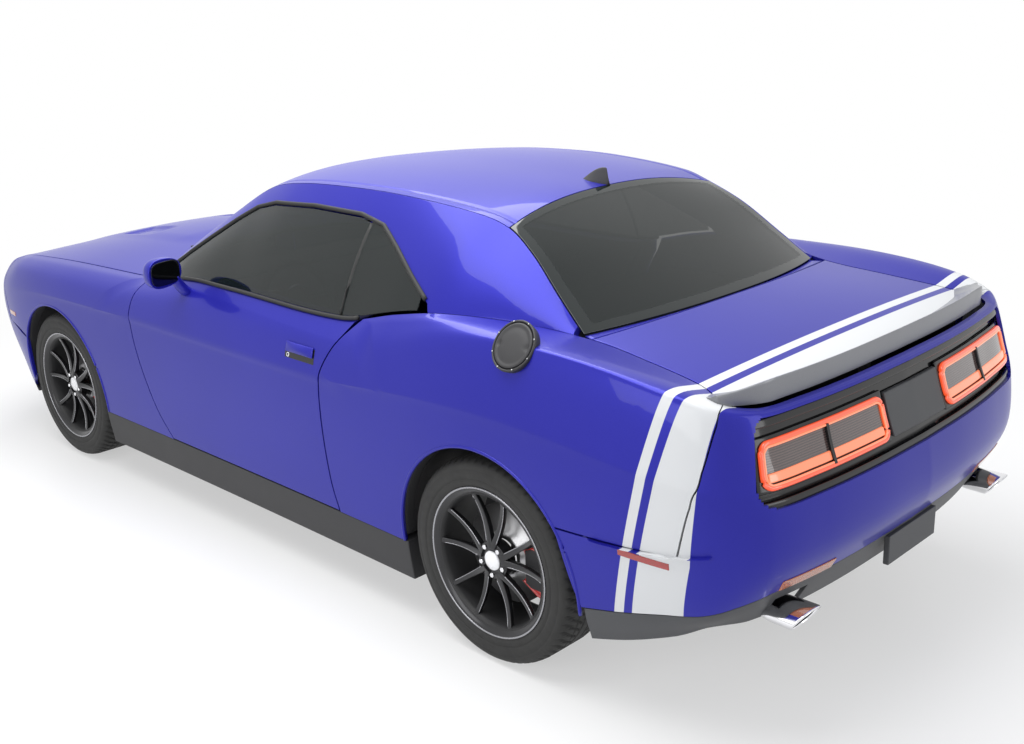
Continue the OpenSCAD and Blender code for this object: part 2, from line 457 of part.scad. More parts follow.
bay_f = [axle_f - arch_r - 14, axle_f + arch_r + 14];    // length of a front wheel arch
bay_r = [axle_r - arch_r - 14, axle_r + arch_r + 14];    // length of a rear wheel arch
boot_z = mz(500);                // top of the boot floor
dash_x = mx(640);                // bulkhead between engine and cabin
tail_x = mx(-2300);              // closing panel of the boot
front_x = mx(2190);              // radiator panel
rail_z = [mz(420), mz(520)];     // height of the front side rails
tunnel_z = floor_z + 190;        // top of the propeller shaft's tunnel
tunnel_y = 110;                  // half its width
arm_y = my(780);                 // reach of the front bulkhead
pad_h = 8;                       // how far a jacking pad stands below the floor
function lid_z(x) = let(T = [for (i = [0:8]) let(p = lid_pt(i / 8, 0.0001)) [p[0], p[2]]]) row(T, x)[1];
function hood_z(x) = let(T = [for (i = [0:12]) let(p = hood_grid()[i][6]) [p[0], p[2]]]) row(T, x)[1];
module latch(x, z0, z1) block([x, x + pan], [-40, 40], [z0, z1]);
module floor_pan() color([0.1, 0.1, 0.11]) difference() {
  union() {
    block([bay_r[1], dash_x], [-rocker_y, rocker_y], [floor_z - pan, floor_z]);
    block([bay_r[1], dash_x], [-tunnel_y, tunnel_y], [floor_z - pan, tunnel_z]);
    block([dash_x - pan, dash_x], [-arm_y, arm_y], [floor_z - 1, mz(800)]);
    block([bay_r[1], bay_r[1] + pan], [-arm_y, arm_y], [floor_z - pan, boot_z]);
    block([tail_x, bay_r[1] + pan], [-rear_bay_y + pan, rear_bay_y - pan], [boot_z - pan, boot_z]);
    block([tail_x, tail_x + pan], [-rear_bay_y, rear_bay_y], [mz(470), mz(770)]);
    latch(tail_x, mz(770) - 1, lid_z(tail_x) - skin - 1);
    block([front_x, front_x + pan], [-my(600), my(600)], [mz(300), mz(700)]);
    latch(front_x, mz(700) - 1, hood_z(front_x + pan) - skin * 1.07 - 0.6);
    for (s = [1, -1]) {
      y = s * (rocker_y - 30);
      block([bay_r[1], bay_f[0]], [y - 30, y + 30], [floor_z - pan, mz(border_z) + 22]);
      for (x = [bay_r[1] + 120, bay_f[0] - 120]) translate([x, y, floor_z - pan - pad_h])
        cylinder(r = pad_r, h = pad_h + 1, $fn = 48);
      block([bay_f[0] - pan, bay_f[0]], [min(s * 300, s * rocker_y), max(s * 300, s * rocker_y)],
        [floor_z - pan, floor_z + 60]);
      yf = s * (front_bay_y - pan / 2);
      block([dash_x - 1, bay_f[1]], [yf - pan / 2, yf + pan / 2], [mz(300), mz(760)]);
      block([dash_x - 1, front_x + 1], [yf - 60 * (s + 1) / 2, yf + 60 * (1 - s) / 2], rail_z);
      yr = s * (rear_bay_y - pan / 2);
      block([tail_x, bay_r[1] + pan], [yr - pan / 2, yr + pan / 2], [mz(470), mz(1000) + 1]);
    }
    block([mx(-1640), bay_r[1] + pan], [-rear_bay_y, rear_bay_y], [mz(1000), mz(1000) + pan]);
  }
  block([bay_r[1] - 1, dash_x + 1], [-tunnel_y + pan, tunnel_y - pan], [floor_z - 2 * pan, tunnel_z - pan]);
}
module engine_block() color([0.3, 0.3, 0.32])
  block([mx(1080), mx(1880)], [-300, 300], [mz(250) + fit, mz(860)]);
module wheel_liners() color([0.04, 0.04, 0.04]) for (s = [1, -1])
  for (a = [[axle_f, front_bay_y, my(880)], [axle_r, rear_bay_y, my(880)]]) difference() {
    translate([a[0], s * (a[1] + fit), wheel_z]) rotate([s * -90, 0, 0]) difference() {
      cylinder(r = arch_r + 8, h = a[2] - a[1], $fn = 72);
      translate([0, 0, -1]) cylinder(r = arch_r + 2, h = a[2] - a[1] + 2, $fn = 72);
    }
    translate([a[0] - 1000, -2000, -1000]) cube([2000, 4000, 1000 + mz(border_z) + 60]);
  }
module cowl() color([0.04, 0.04, 0.04])
  block([dash_x + fit, mx(900)], [-my(700), my(700)], [mz(760) + fit, mz(930)]);
module dashboard() color([0.06, 0.06, 0.07]) {
  difference() {
    block([mx(330), dash_x - pan - fit], [-my(700), my(700)], [mz(640), mz(930)]);
    translate([mx(300), -my(720), mz(580)]) rotate([0, 25, 0]) cube([200, my(1440), 150]);
  }
  translate(wheel_hub) rotate([0, column_tilt, 0]) translate([0, 0, 32 + fit])
    cylinder(r = 32, h = 130, $fn = 32);
}
column_tilt = 112;               // slope of the steering column from the vertical
wheel_hub = [mx(235), driver_y, mz(880)];
module steering_wheel() color([0.05, 0.05, 0.05]) translate(wheel_hub) rotate([0, column_tilt, 0]) {
  rotate_extrude($fn = 48) translate([steering_d / 2 - 15, 0]) circle(r = 15, $fn = 16);
  translate([0, 0, -12]) cylinder(r = 62, h = 44, $fn = 32);
  for (a = [0, 90, 180]) rotate([0, 0, a - 90]) translate([50, -16, -4])
    cube([steering_d / 2 - 70, 32, 14]);
}
module seat(y) translate([mx(0), y, 0]) {
  block([-330, 170], [-250, 250], [floor_z + 110, floor_z + 240]);
  translate([-330, 0, floor_z + 150]) rotate([0, -22, 0]) block([-120, 0], [-240, 240], [0, 640]);
  block([-240, 100], [-200, 200], [floor_z, floor_z + 111]);
}
module front_seats() color([0.07, 0.07, 0.08]) for (s = [1, -1]) seat(s * driver_y);
module rear_seat() color([0.07, 0.07, 0.08]) {
  block([bay_r[1] + pan + fit, bay_r[1] + 430], [-my(560), my(560)], [tunnel_z, tunnel_z + 120]);
  translate([bay_r[1] + pan + 160, 0, tunnel_z + 119]) rotate([0, -20, 0])
    block([-90, 0], [-my(560), my(560)], [0, 440]);
}
module rod(a, b, r) {
  d = b - a;
  translate(a) rotate([0, acos(d[2] / norm(d)), atan2(d[1], d[0])]) cylinder(r = r, h = norm(d), $fn = 24);
}
module front_axle() color([0.2, 0.2, 0.2]) {
  block([axle_f - 160, axle_f + 160], [-front_bay_y + 4, front_bay_y - 4], [mz(190), mz(250)]);
  for (s = [1, -1]) {
    rod([axle_f, s * (front_bay_y - 40), wheel_z - 148], [axle_f, s * (kingpin_y - 26 - fit), wheel_z - 148], 18);
    for (x = [-110, 110]) block([axle_f + x - 30, axle_f + x + 30],
      [s * (front_bay_y - 50) - 30, s * (front_bay_y - 50) + 30], [mz(249), rail_z[0] - fit]);
  }
}
module rear_axle() color([0.2, 0.2, 0.2]) {
  translate([axle_r, 0, wheel_z]) sphere(r = 120, $fn = 32);
  rod([axle_r, -rear_track / 2 + hub_in + fit, wheel_z], [axle_r, rear_track / 2 - hub_in - fit, wheel_z], 22);
  for (s = [1, -1]) {
    block([axle_r - 200, axle_r + 200], [s * 420 - 25, s * 420 + 25], [wheel_z - 70, wheel_z - 10]);
    for (x = [-170, 170]) block([axle_r + x - 25, axle_r + x + 25], [s * 420 - 25, s * 420 + 25],
      [wheel_z - 11, boot_z - pan - fit]);
    block([axle_r - 30, axle_r + 30], [s * 440 - 30, s * 440 + 30], [wheel_z - 40, wheel_z + 30]);
    translate([axle_r, 0, wheel_z]) {
      caliper(s, rear_track / 2);
      block([-150, 30], [s * (rear_track / 2 - 56) - 16, s * (rear_track / 2 - 56) + 16], [-30, 30]);
    }
  }
}
module propshaft() color([0.25, 0.25, 0.25])
  rod([axle_r + 121, 0, wheel_z - 30], [mx(1080) - 0.8, 0, mz(300)], 34);
exhaust_r = 32;
// Route of a tail pipe from the engine to its tip: x, y, z
exhaust_route = [[700, 260, 138], [-1000, 260, 138], [-1860, 330, 300], [-1960, 560, 396], [-2505, 640, 424]];
module exhaust() color([0.7, 0.7, 0.72]) for (s = [1, -1]) {
  for (k = [0:3]) hull() for (q = [exhaust_route[k], exhaust_route[k + 1]])
    translate([mx(q[0]), s * q[1], q[2]]) sphere(r = exhaust_r, $fn = 14);
  for (x = [-700, 200]) block([mx(x) - 15, mx(x) + 15], [s * 260 - 8, s * 260 + 8], [150, floor_z - pan - fit]);
}
module filler_housing() color([0.05, 0.05, 0.05]) at_filler() difference() {
  translate([0, 0, -34]) cylinder(d = filler_d + 28, h = 38, $fn = 48);
  translate([0, 0, -10]) cylinder(d = filler_d + 10, h = 40, $fn = 48);
}
module filler_cap() color([0.05, 0.05, 0.05]) at_filler() translate([0, 0, -10 + fit])
  cylinder(d = filler_d, h = 16, $fn = 48);
module mirror_pod(s) color([0.16, 0.16, 0.6]) scale([1, s, 1]) {
  hull() {
    translate([mx(285), my(1025), mz(1118)]) scale([60, 74, 62]) sphere(r = 1, $fn = 24);
    translate([mx(235), my(930), mz(1112)]) scale([30, 22, 48]) sphere(r = 1, $fn = 16);
  }
  hull() {
    translate([mx(262), my(925), mz(1085)]) cube([40, 30, 20], center = true);
    translate(skin_pt(330, 7) + [0, 8.7, 11.9]) cube([80, 16, 22], center = true);
  }
}
function lid_pt(v, w) = let(a = abs(w), e = mix(lid_rear(a), lid_front(a), v),
  p = e + (lid_side(v) - mix(lid_rear(1), lid_front(1), v)) * a * a)
  [p[0], sign(w) * p[1], p[2] + mz(8) * (1 - w * w) * 4 * v * (1 - v)];
// Blade on the lid: u of the section runs from its front edge over the lip and back under
function spoiler_pt(w, k) = let(a = abs(w), y = w * my(815), inlid = min(a * 1.15, 0.99),
  f = lid_pt(0.2, sign(w) * inlid), r = lid_pt(0.01, sign(w) * inlid), tip = pow(a, 5),
  up = mz(26) * pow(a, 8), x0 = f[0] + lx(70) * tip, x1 = r[0] - lx(30) + lx(75) * tip)
  k == 0 ? [x0, y, f[2] + 3 + up] : k == 1 ? [mix(x0, x1, 0.55), y, r[2] + mz(26) + up]
  : k == 2 ? [x1, y, r[2] + mz(52) - mz(16) * tip + up]
  : k == 3 ? [x0 - 2, y, f[2] + 1 + up] : k == 4 ? [mix(x0, x1, 0.55), y, mix(f[2], r[2], 0.55) + 2 + up]
  : [x1 + 14, y, r[2] + mz(6) + up];
module spoiler() color([0.35, 0.35, 0.37]) {
  n = 16;
  slab([for (i = [0:n]) [for (k = [0:2]) spoiler_pt(mix(-1, 1, i / n), k)]],
    [for (i = [0:n]) [for (k = [3:5]) spoiler_pt(mix(-1, 1, i / n), k)]]);
}
// ---- draw the chosen node, or all of them ----
floor_pan();
engine_block();
fender(1);  // fender_left
fender(-1);  // fender_right
quarter(1);  // quarter_left
quarter(-1);  // quarter_right
roof();
side_frames();
windshield();
rear_window();
quarter_windows();
front_bumper();
grille();
headlamps();
front_splitter();
rear_bumper();
rear_valance();
tail_panel();
tail_lamps();
sills();
wheel_liners();
cowl();
dashboard();
front_seats();
rear_seat();
exhaust();
front_axle();
rear_axle();
propshaft();
filler_housing();
door(1);  // door_left
door(-1);  // door_right
door_glass(1);  // door_glass_left
door_glass(-1);  // door_glass_right
mirror_pod(1);  // mirror_left
mirror_pod(-1);  // mirror_right
hood();
trunk_lid();
spoiler();
filler_cap();
steering_wheel();
knuckle(1);  // knuckle_left
knuckle(-1);  // knuckle_right
tyre(axle_f, front_track / 2);  // tyre_front_left
rim(axle_f, front_track / 2);  // rim_front_left
tyre(axle_f, -front_track / 2);  // tyre_front_right
rim(axle_f, -front_track / 2);  // rim_front_right
tyre(axle_r, rear_track / 2);  // tyre_rear_left
rim(axle_r, rear_track / 2);  // rim_rear_left
tyre(axle_r, -rear_track / 2);  // tyre_rear_right
rim(axle_r, -rear_track / 2);  // rim_rear_right
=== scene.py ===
# %% [markdown]
# # A muscle car in cells
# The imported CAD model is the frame: its bodies carry every piece, and its nodes give the
# places. Here the body panels are drawn again on finer grids, because paint shows every
# facet, and the lamps, wheels, glass and trim get the detail the CAD leaves out.

# %% Load the frame
import bpy, math
import numpy as np
from mathutils import Matrix, Vector


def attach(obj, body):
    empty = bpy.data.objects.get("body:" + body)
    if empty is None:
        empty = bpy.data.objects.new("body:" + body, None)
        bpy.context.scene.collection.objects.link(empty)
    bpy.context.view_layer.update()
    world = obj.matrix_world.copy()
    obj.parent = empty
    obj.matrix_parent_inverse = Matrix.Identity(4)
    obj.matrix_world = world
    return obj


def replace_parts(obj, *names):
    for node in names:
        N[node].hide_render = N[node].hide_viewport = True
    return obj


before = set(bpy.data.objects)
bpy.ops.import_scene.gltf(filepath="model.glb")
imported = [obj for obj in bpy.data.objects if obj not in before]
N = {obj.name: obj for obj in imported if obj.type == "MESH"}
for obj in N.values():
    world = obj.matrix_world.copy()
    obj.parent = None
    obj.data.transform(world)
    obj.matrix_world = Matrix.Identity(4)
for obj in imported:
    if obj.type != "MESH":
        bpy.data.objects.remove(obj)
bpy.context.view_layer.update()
print("frame loaded,", len(N), "nodes")

# %% [markdown]
# ## Shader maths
# A finish is a sum of masks and noises. Written as node wires that is hard to read, so one
# small class wraps a socket and turns Python's operators into Math nodes.

# %% The operator class
class Sock:
    """A node socket that adds Math nodes when it is used in an expression."""
    def __init__(self, mat, socket): self.mat, self.socket = mat, socket
    def op(self, name, *others):
        return self.mat.node("ShaderNodeMath", {"operation": name}, [self, *others])
    def __add__(self, o): return self.op("ADD", o)
    __radd__ = __add__
    def __mul__(self, o): return self.op("MULTIPLY", o)
    __rmul__ = __mul__
    def __sub__(self, o): return self.op("SUBTRACT", o)
    def __rsub__(self, o):
        return self.mat.node("ShaderNodeMath", {"operation": "SUBTRACT"}, [o, self])
    def abs(self): return self.op("ABSOLUTE")
    def max(self, o): return self.op("MAXIMUM", o)
    def min(self, o): return self.op("MINIMUM", o)

class Finish:
    """A material with one Principled shader, and a method that adds any other node."""
    def __init__(self, name, colour=(0.5, 0.5, 0.5), rough=0.5, metal=0.0, **more):
        self.m = bpy.data.materials.new(name)
        self.m.use_nodes = True
        self.t = self.m.node_tree
        self.b = self.t.nodes["Principled BSDF"]
        self.set("Base Color", colour).set("Roughness", rough).set("Metallic", metal)
        for key, value in more.items(): self.set(key.replace("_", " "), value)
    def set(self, name, value):
        s = self.b.inputs[name]
        if isinstance(value, Sock): self.t.links.new(value.socket, s)
        elif s.type == "RGBA": s.default_value = (*value[:3], 1)
        else: s.default_value = value
        return self
    def node(self, kind, settings=None, values=(), out=0):
        n = self.t.nodes.new(kind)
        for key, value in (settings or {}).items(): setattr(n, key, value)
        pairs = values.items() if isinstance(values, dict) else enumerate(values)
        for key, value in pairs:
            if isinstance(value, Sock): self.t.links.new(value.socket, n.inputs[key])
            elif value is not None:
                n.inputs[key].default_value = (*value, 1) if hasattr(value,
                    "__len__") and n.inputs[key].type == "RGBA" else value
        return Sock(self, n.outputs[out])
    def axes(self, source="Object"):
        """x, y and z of the object's own coordinates, or of its UV map."""
        p = self.node("ShaderNodeTexCoord", out=source)
        s = self.t.nodes.new("ShaderNodeSeparateXYZ")
        self.t.links.new(p.socket, s.inputs[0])
        return [Sock(self, o) for o in s.outputs]
    def noise(self, scale, detail=3.0, rough=0.5, at=None):
        p = at or self.node("ShaderNodeTexCoord", out="Object")
        return self.node("ShaderNodeTexNoise", {}, {"Vector": p, "Scale": scale, "Detail": detail,
            "Roughness": rough})
    def mix(self, f, a, b):
        """Colour a where f is 0 and b where f is 1."""
        n = self.t.nodes.new("ShaderNodeMix")
        n.data_type = "RGBA"
        for key, value in ((0, f), (6, a), (7, b)):
            if isinstance(value, Sock): self.t.links.new(value.socket, n.inputs[key])
            else: n.inputs[key].default_value = (*value, 1) if key else value
        return Sock(self, n.outputs[2])
    def bump(self, height, strength=0.3, distance=0.001):
        return self.set("Normal", self.node("ShaderNodeBump", {},
            {"Strength": strength, "Distance": distance, "Height": height}))
    def band(self, x, a, b, soft=0.0006):
        """1 where x is between a and b, with a soft edge."""
        up = self.node("ShaderNodeMapRange", {}, [x, a - soft, a + soft, 0.0, 1.0])
        down = self.node("ShaderNodeMapRange", {}, [x, b - soft, b + soft, 1.0, 0.0])
        return up * down
print("shader helpers ready")

# %% [markdown]
# ## The skin
# The whole body is one surface. A plan curve gives the widest line of the side, and short
# tables give how far each level lies inside it and how high. A cubic through the rows makes
# them smooth, so that highlights run without kinks from panel to panel.

# %% Curves through tables
PLAN = np.array([
    [-3300, -2550.5, 0], [-3000, -2543, 300], [-2760, -2520, 560], [-2570, -2478, 760],
    [-2450, -2412, 862], [-2340, -2328, 918], [-2200, -2200, 945], [-2000, -2000, 957],
    [-1476, -1476, 961], [-1000, -1000, 957], [-500, -500, 954], [0, 0, 953],
    [600, 600, 955], [1100, 1100, 958], [1476, 1476, 958], [1800, 1800, 948],
    [2020, 2020, 925], [2180, 2180, 880], [2310, 2275, 790], [2500, 2358, 610],
    [2790, 2422, 330], [3120, 2445.5, 0]], float)
# u, then inset and height of the levels 0 skirt, 1 paint border, 2 flank, 3 below the
# crease, 4 crease, 5 upper flank, 6 shoulder, 7 edge of hood, window or deck
ROWS = np.array([
    [-3300, 120, 385, 52, 512, 0, 628, 18, 795, 55, 905, 92, 1024, 104, 1044, 126, 1052],
    [-2760, 120, 388, 50, 512, 4, 628, 18, 795, 55, 905, 90, 1024, 102, 1044, 124, 1050],
    [-2570, 118, 392, 48, 505, 4, 628, 12, 795, 42, 905, 78, 1026, 94, 1048, 120, 1052],
    [-2340, 110, 380, 40, 455, 4, 622, 2, 808, 10, 880, 50, 1040, 84, 1078, 168, 1066],
    [-2200, 90, 330, 34, 430, 4, 614, 0, 820, 5, 890, 42, 1068, 84, 1104, 218, 1084],
    [-2000, 70, 260, 28, 380, 4, 600, 0, 836, 4, 908, 44, 1098, 88, 1128, 252, 1104],
    [-1750, 50, 200, 25, 330, 4, 590, 0, 850, 3, 925, 46, 1112, 92, 1144, 272, 1127],
    [-1476, 45, 170, 25, 322, 6, 580, 0, 852, 2, 930, 44, 1102, 90, 1148, 205, 1154],
    [-1200, 45, 165, 25, 322, 8, 570, 0, 848, 1, 912, 40, 1068, 86, 1130, 132, 1152],
    [-1000, 45, 165, 25, 322, 10, 565, 1, 838, 0, 890, 34, 1020, 80, 1092, 112, 1120],
    [-700, 45, 165, 25, 322, 12, 560, 2, 818, 0, 862, 32, 982, 78, 1040, 96, 1056],
    [0, 45, 165, 25, 322, 14, 560, 3, 812, 0, 856, 32, 974, 78, 1040, 94, 1056],
    [300, 45, 165, 25, 322, 14, 560, 3, 812, 0, 856, 32, 968, 78, 1034, 96, 1054],
    [650, 45, 165, 25, 322, 13, 560, 3, 812, 0, 855, 34, 944, 92, 992, 134, 1008],
    [800, 45, 165, 25, 322, 12, 560, 3, 808, 0, 852, 34, 934, 96, 980, 154, 992],
    [1476, 45, 170, 25, 322, 8, 560, 2, 790, 0, 840, 34, 914, 94, 956, 160, 968],
    [1900, 60, 200, 30, 325, 8, 550, 0, 740, 2, 816, 34, 892, 88, 930, 148, 943],
    [2080, 78, 222, 52, 335, 14, 520, 0, 690, 4, 790, 34, 858, 80, 906, 140, 922],
    [2310, 120, 235, 96, 335, 26, 500, 0, 620, 14, 756, 34, 812, 72, 866, 120, 884],
    [2500, 100, 238, 72, 335, 18, 490, 0, 610, 14, 756, 30, 808, 58, 850, 96, 868],
    [3120, 80, 240, 52, 335, 10, 480, 0, 605, 14, 756, 28, 806, 52, 845, 84, 864]], float)
# Upper edge of the side windows' frame: x, y, z
RAIL = np.array([
    [-1690, 672, 1132], [-1560, 640, 1230], [-1420, 602, 1336], [-1282, 572, 1408],
    [-1150, 584, 1444], [-800, 598, 1474], [-500, 601, 1478], [-150, 594, 1462],
    [80, 582, 1418], [300, 628, 1296], [520, 700, 1150], [700, 768, 1012]], float)
SHIFT = 52.5          # from the middle of the wheelbase to the middle of the car
AXLE_F, AXLE_R, WHEEL_Z, ARCH_R = 1475.5, -1475.5, 364.0, 412.0

print("tables:", len(PLAN), "plan points and", len(ROWS), "sections")

# %% [markdown]
# ### Grids, rings and lines
# Most pieces are a grid of points carried along a path or turned round an axle. Blender
# could spin or screw a profile, but a grid keeps every point in a known row, so the faces
# that join it are worked out once here.

# %% Helpers for grids and lines
BODY_INNER = 825.3    # inner face of doors and sills, from the middle plane
GLASS_THICK = 5
BACK = [0, 3, 2, 1]   # order that turns a four-sided face over

def turn(n):
    """n angles evenly round a full turn."""
    return np.linspace(0, 2 * np.pi, n, endpoint=False)
def quads(n, m, close_n=False, close_m=False):
    """Faces of a grid of n by m points; either way may close on itself."""
    i, j = np.meshgrid(np.arange(n if close_n else n - 1), np.arange(m if close_m else m - 1),
        indexing="ij")
    i2, j2 = (i + 1) % n, (j + 1) % m
    return np.stack([i * m + j, i2 * m + j, i2 * m + j2, i * m + j2], -1).reshape(-1, 4)
def caps(n, m):
    """Faces that close the first and the last of n rings of m points."""
    return [list(range(m))[::-1], [(n - 1) * m + q for q in range(m)]]
def flip(F): return [f[::-1] for f in F]
def sample(P, t, at=None):
    """Points of the polyline P at the places t; at gives the place of each corner."""
    P = np.asarray(P, float)
    return np.stack([np.interp(t, range(len(P)) if at is None else at, P[:, c])
        for c in range(P.shape[1])], -1)
def by_length(P, n, last=True):
    """n points at equal lengths along the polyline P."""
    d = np.r_[0, np.cumsum(np.linalg.norm(np.diff(np.asarray(P, float), axis=0), axis=1))]
    return sample(P, np.linspace(0, d[-1], n, endpoint=last), d)
def ruled(A, B, m):
    """Grid of m strips between two lines of equal length."""
    t = np.linspace(0, 1, m + 1)[None, :, None]
    return A[:, None] * (1 - t) + B[:, None] * t
print("grid helpers ready")

# %% [markdown]
# ### The skin as a function
# A sheet of pressed steel bends evenly. A cubic that leaves each row with the slope between
# its neighbours does the same, where straight steps would show as bands in the reflections.
# The skin turns a place along the plan and a level up the section into a point.

# %% The cubic and the skin
def hermite(a, b, ma, mb, t):
    """Cubic from a to b that leaves with slope ma and arrives with slope mb."""
    return (2*t**3 - 3*t*t + 1)*a + (t**3 - 2*t*t + t)*ma + (3*t*t - 2*t**3)*b + (t**3 - t*t)*mb
def curve(T, x):
    """Smooth curve through the rows of T; the first column is the parameter."""
    T, x = np.asarray(T, float), np.asarray(x, float)
    k = np.arange(len(T)); a, b = np.maximum(k - 1, 0), np.minimum(k + 1, len(T) - 1)
    M = (T[b] - T[a]) / (T[b, :1] - T[a, :1])
    i = np.clip(np.searchsorted(T[:, 0], x, side="right") - 1, 0, len(T) - 2)
    h = T[i + 1, 0] - T[i, 0]
    t = ((x - T[i, 0]) / h)[..., None]
    return hermite(T[i], T[i + 1], M[i] * h[..., None], M[i + 1] * h[..., None], t)
def at_level(R, l):
    """Inset and height at level l of sections R: a cubic through the levels."""
    l = np.asarray(l, float)
    k = np.clip(np.floor(l).astype(int), 0, 6)
    a, b = np.maximum(k - 1, 0), np.minimum(k + 2, 7)
    pick = lambda j: np.stack([np.take_along_axis(R, (1 + 2*j)[..., None], -1)[..., 0],
                               np.take_along_axis(R, (2 + 2*j)[..., None], -1)[..., 0]], -1)
    p, q = pick(k), pick(k + 1)
    return hermite(p, q, (q - pick(a)) / (k + 1 - a)[..., None], (pick(b) - p) / (b - k)[..., None],
        (l - k)[..., None])
def skin(u, l, s=1):
    """Point of the skin at u along the plan and level l up the section, on side s."""
    u, l = np.broadcast_arrays(np.asarray(u, float), np.asarray(l, float))
    q = at_level(curve(ROWS, u), l)
    p = curve(PLAN, u)[..., 1:]
    t = curve(PLAN, u + 1)[..., 1:] - curve(PLAN, u - 1)[..., 1:]
    n = np.stack([-t[..., 1], t[..., 0]], -1) / np.linalg.norm(t, axis=-1, keepdims=True)
    p = p - n * q[..., :1]
    return np.stack([p[..., 0], s * p[..., 1], q[..., 1]], -1)
def level(u, z):
    """Level at which the skin at u has height z, by halving."""
    u, z = np.broadcast_arrays(np.asarray(u, float), np.asarray(z, float))
    R = curve(ROWS, u); a, b = np.zeros(u.shape), np.full(u.shape, 6.0)
    for _ in range(22):
        m = (a + b) / 2; low = at_level(R, m)[..., 1] < z
        a, b = np.where(low, m, a), np.where(low, b, m)
    return (a + b) / 2
def side(x, t, s=1):
    """Cabin side from the belt (t 0) to the rail (t 1), bulging a little between."""
    x, t = np.broadcast_arrays(np.asarray(x, float), np.asarray(t, float))
    b, r = skin(x, 7.0), curve(RAIL, x); t = t[..., None]
    full = np.minimum(1, np.linalg.norm(r - b, axis=-1, keepdims=True) / 250)
    p = b + (r - b) * t + np.array([0, 1, 0.35]) * 22 * 4 * t * (1 - t) * full
    return p * np.array([1, s, 1])
def side_t(x, z):
    b, r = skin(x, 7.0)[..., 2], curve(RAIL, x)[..., 2]
    return (z - b) / (r - b)
print("skin is ready; the waist is", round(float(skin(0, 4)[1]) * 2), "mm wide")

# %% [markdown]
# ## From grids to panels
# A panel is an outer grid, an inner grid under it and the walls between, so it is a closed
# solid with a real edge. A narrow bevel on that edge catches light along each shut line,
# as pressed metal does. Points are given in millimetres and go into the mesh in metres.

# %% Panel builder
def normals(G):
    """Unit normal of a grid, from its neighbours' differences."""
    n = np.cross(np.gradient(G, axis=0), np.gradient(G, axis=1))
    return n / np.maximum(np.linalg.norm(n, axis=-1, keepdims=True), 1e-9)
def facing(G, centre):
    """1 if the grid's normals point away from centre, else -1."""
    return 1 if (normals(G) * (G - centre)).sum() > 0 else -1
print("normals ready")

# %% [markdown]
# ### From points to an object
# Every piece is a mesh that rides on the body it moves with. A table gives the slot for each kind of
# finish, by the name of the finish.

# %% Meshes, slots and bevels
SLOT_OF = {"paint": ("blue_metallic_with_stripes",), "spoiler": ("satin_grey_paint",),
    "tyre": ("tyre_rubber",), "black_trim": ("grained_black_plastic", "grey_valance_plastic",
    "black_rubber_seal"), "structure": ("underbody_sealer",),
    "gloss_black": ("gloss_black_trim", "dash_screen_glass", "dial_face"),
    "chrome": ("polished_chrome", "white_cap_enamel", "mirror_silver"),
    "cast": ("turned_steel", "cast_iron", "red_caliper_paint"),
    "rim": ("satin_black_alloy", "bright_cut_alloy", "black_barrel_coat"),
    "glass": ("tinted_glass", "screen_glass_with_border", "back_glass_with_border"),
    "seat": ("black_seat_leather", "grey_seam_thread"),
    "lamp_red": ("lamp_ring_glow", "lamp_ring_core", "smoked_lamp_lens", "red_marker_lens",
    "amber_reflector_lens"), "lamp_clear": ("white_lamp_ring", "clear_lamp_glass")}
SLOT_OF = {finish: slot for slot, names in SLOT_OF.items() for finish in names}
def mesh_object(name, V, F, material, body, smooth=True, groups=None):
    """Mesh of points V in mm and faces F, in the car's frame, riding on a body."""
    me = bpy.data.meshes.new(name)
    V = np.asarray(V, float).reshape(-1, 3).copy(); V[:, 0] += SHIFT
    me.from_pydata(V / 1000, [], [tuple(map(int, f)) for f in F])
    for m in (material if isinstance(material, (list, tuple)) else [material]):
        me.materials.append(m.m)
    if groups is not None: me.polygons.foreach_set("material_index", groups)
    me.polygons.foreach_set("use_smooth", [smooth] * len(me.polygons))
    me.update()
    o = bpy.data.objects.new(name, me)
    bpy.context.scene.collection.objects.link(o)
    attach(o, body)
    return o
def bevel(o, width, segments=2, angle=40):
    b = o.modifiers.new("edge", "BEVEL")
    b.width, b.segments, b.limit_method, b.angle_limit = width, segments, "ANGLE", math.radians(
        angle)
    b.harden_normals = False
    w = o.modifiers.new("shade", "WEIGHTED_NORMAL"); w.keep_sharp = True
    return o
print("slots for", len(SLOT_OF), "finishes")

# %% [markdown]
# ### The shell
# A pressed panel has two faces and a rim. Solidify could add the thickness, but it swells
# at corners. Here the inner grid is given, cells of an opening are left out, and each cell
# edge without a neighbour gets a wall.

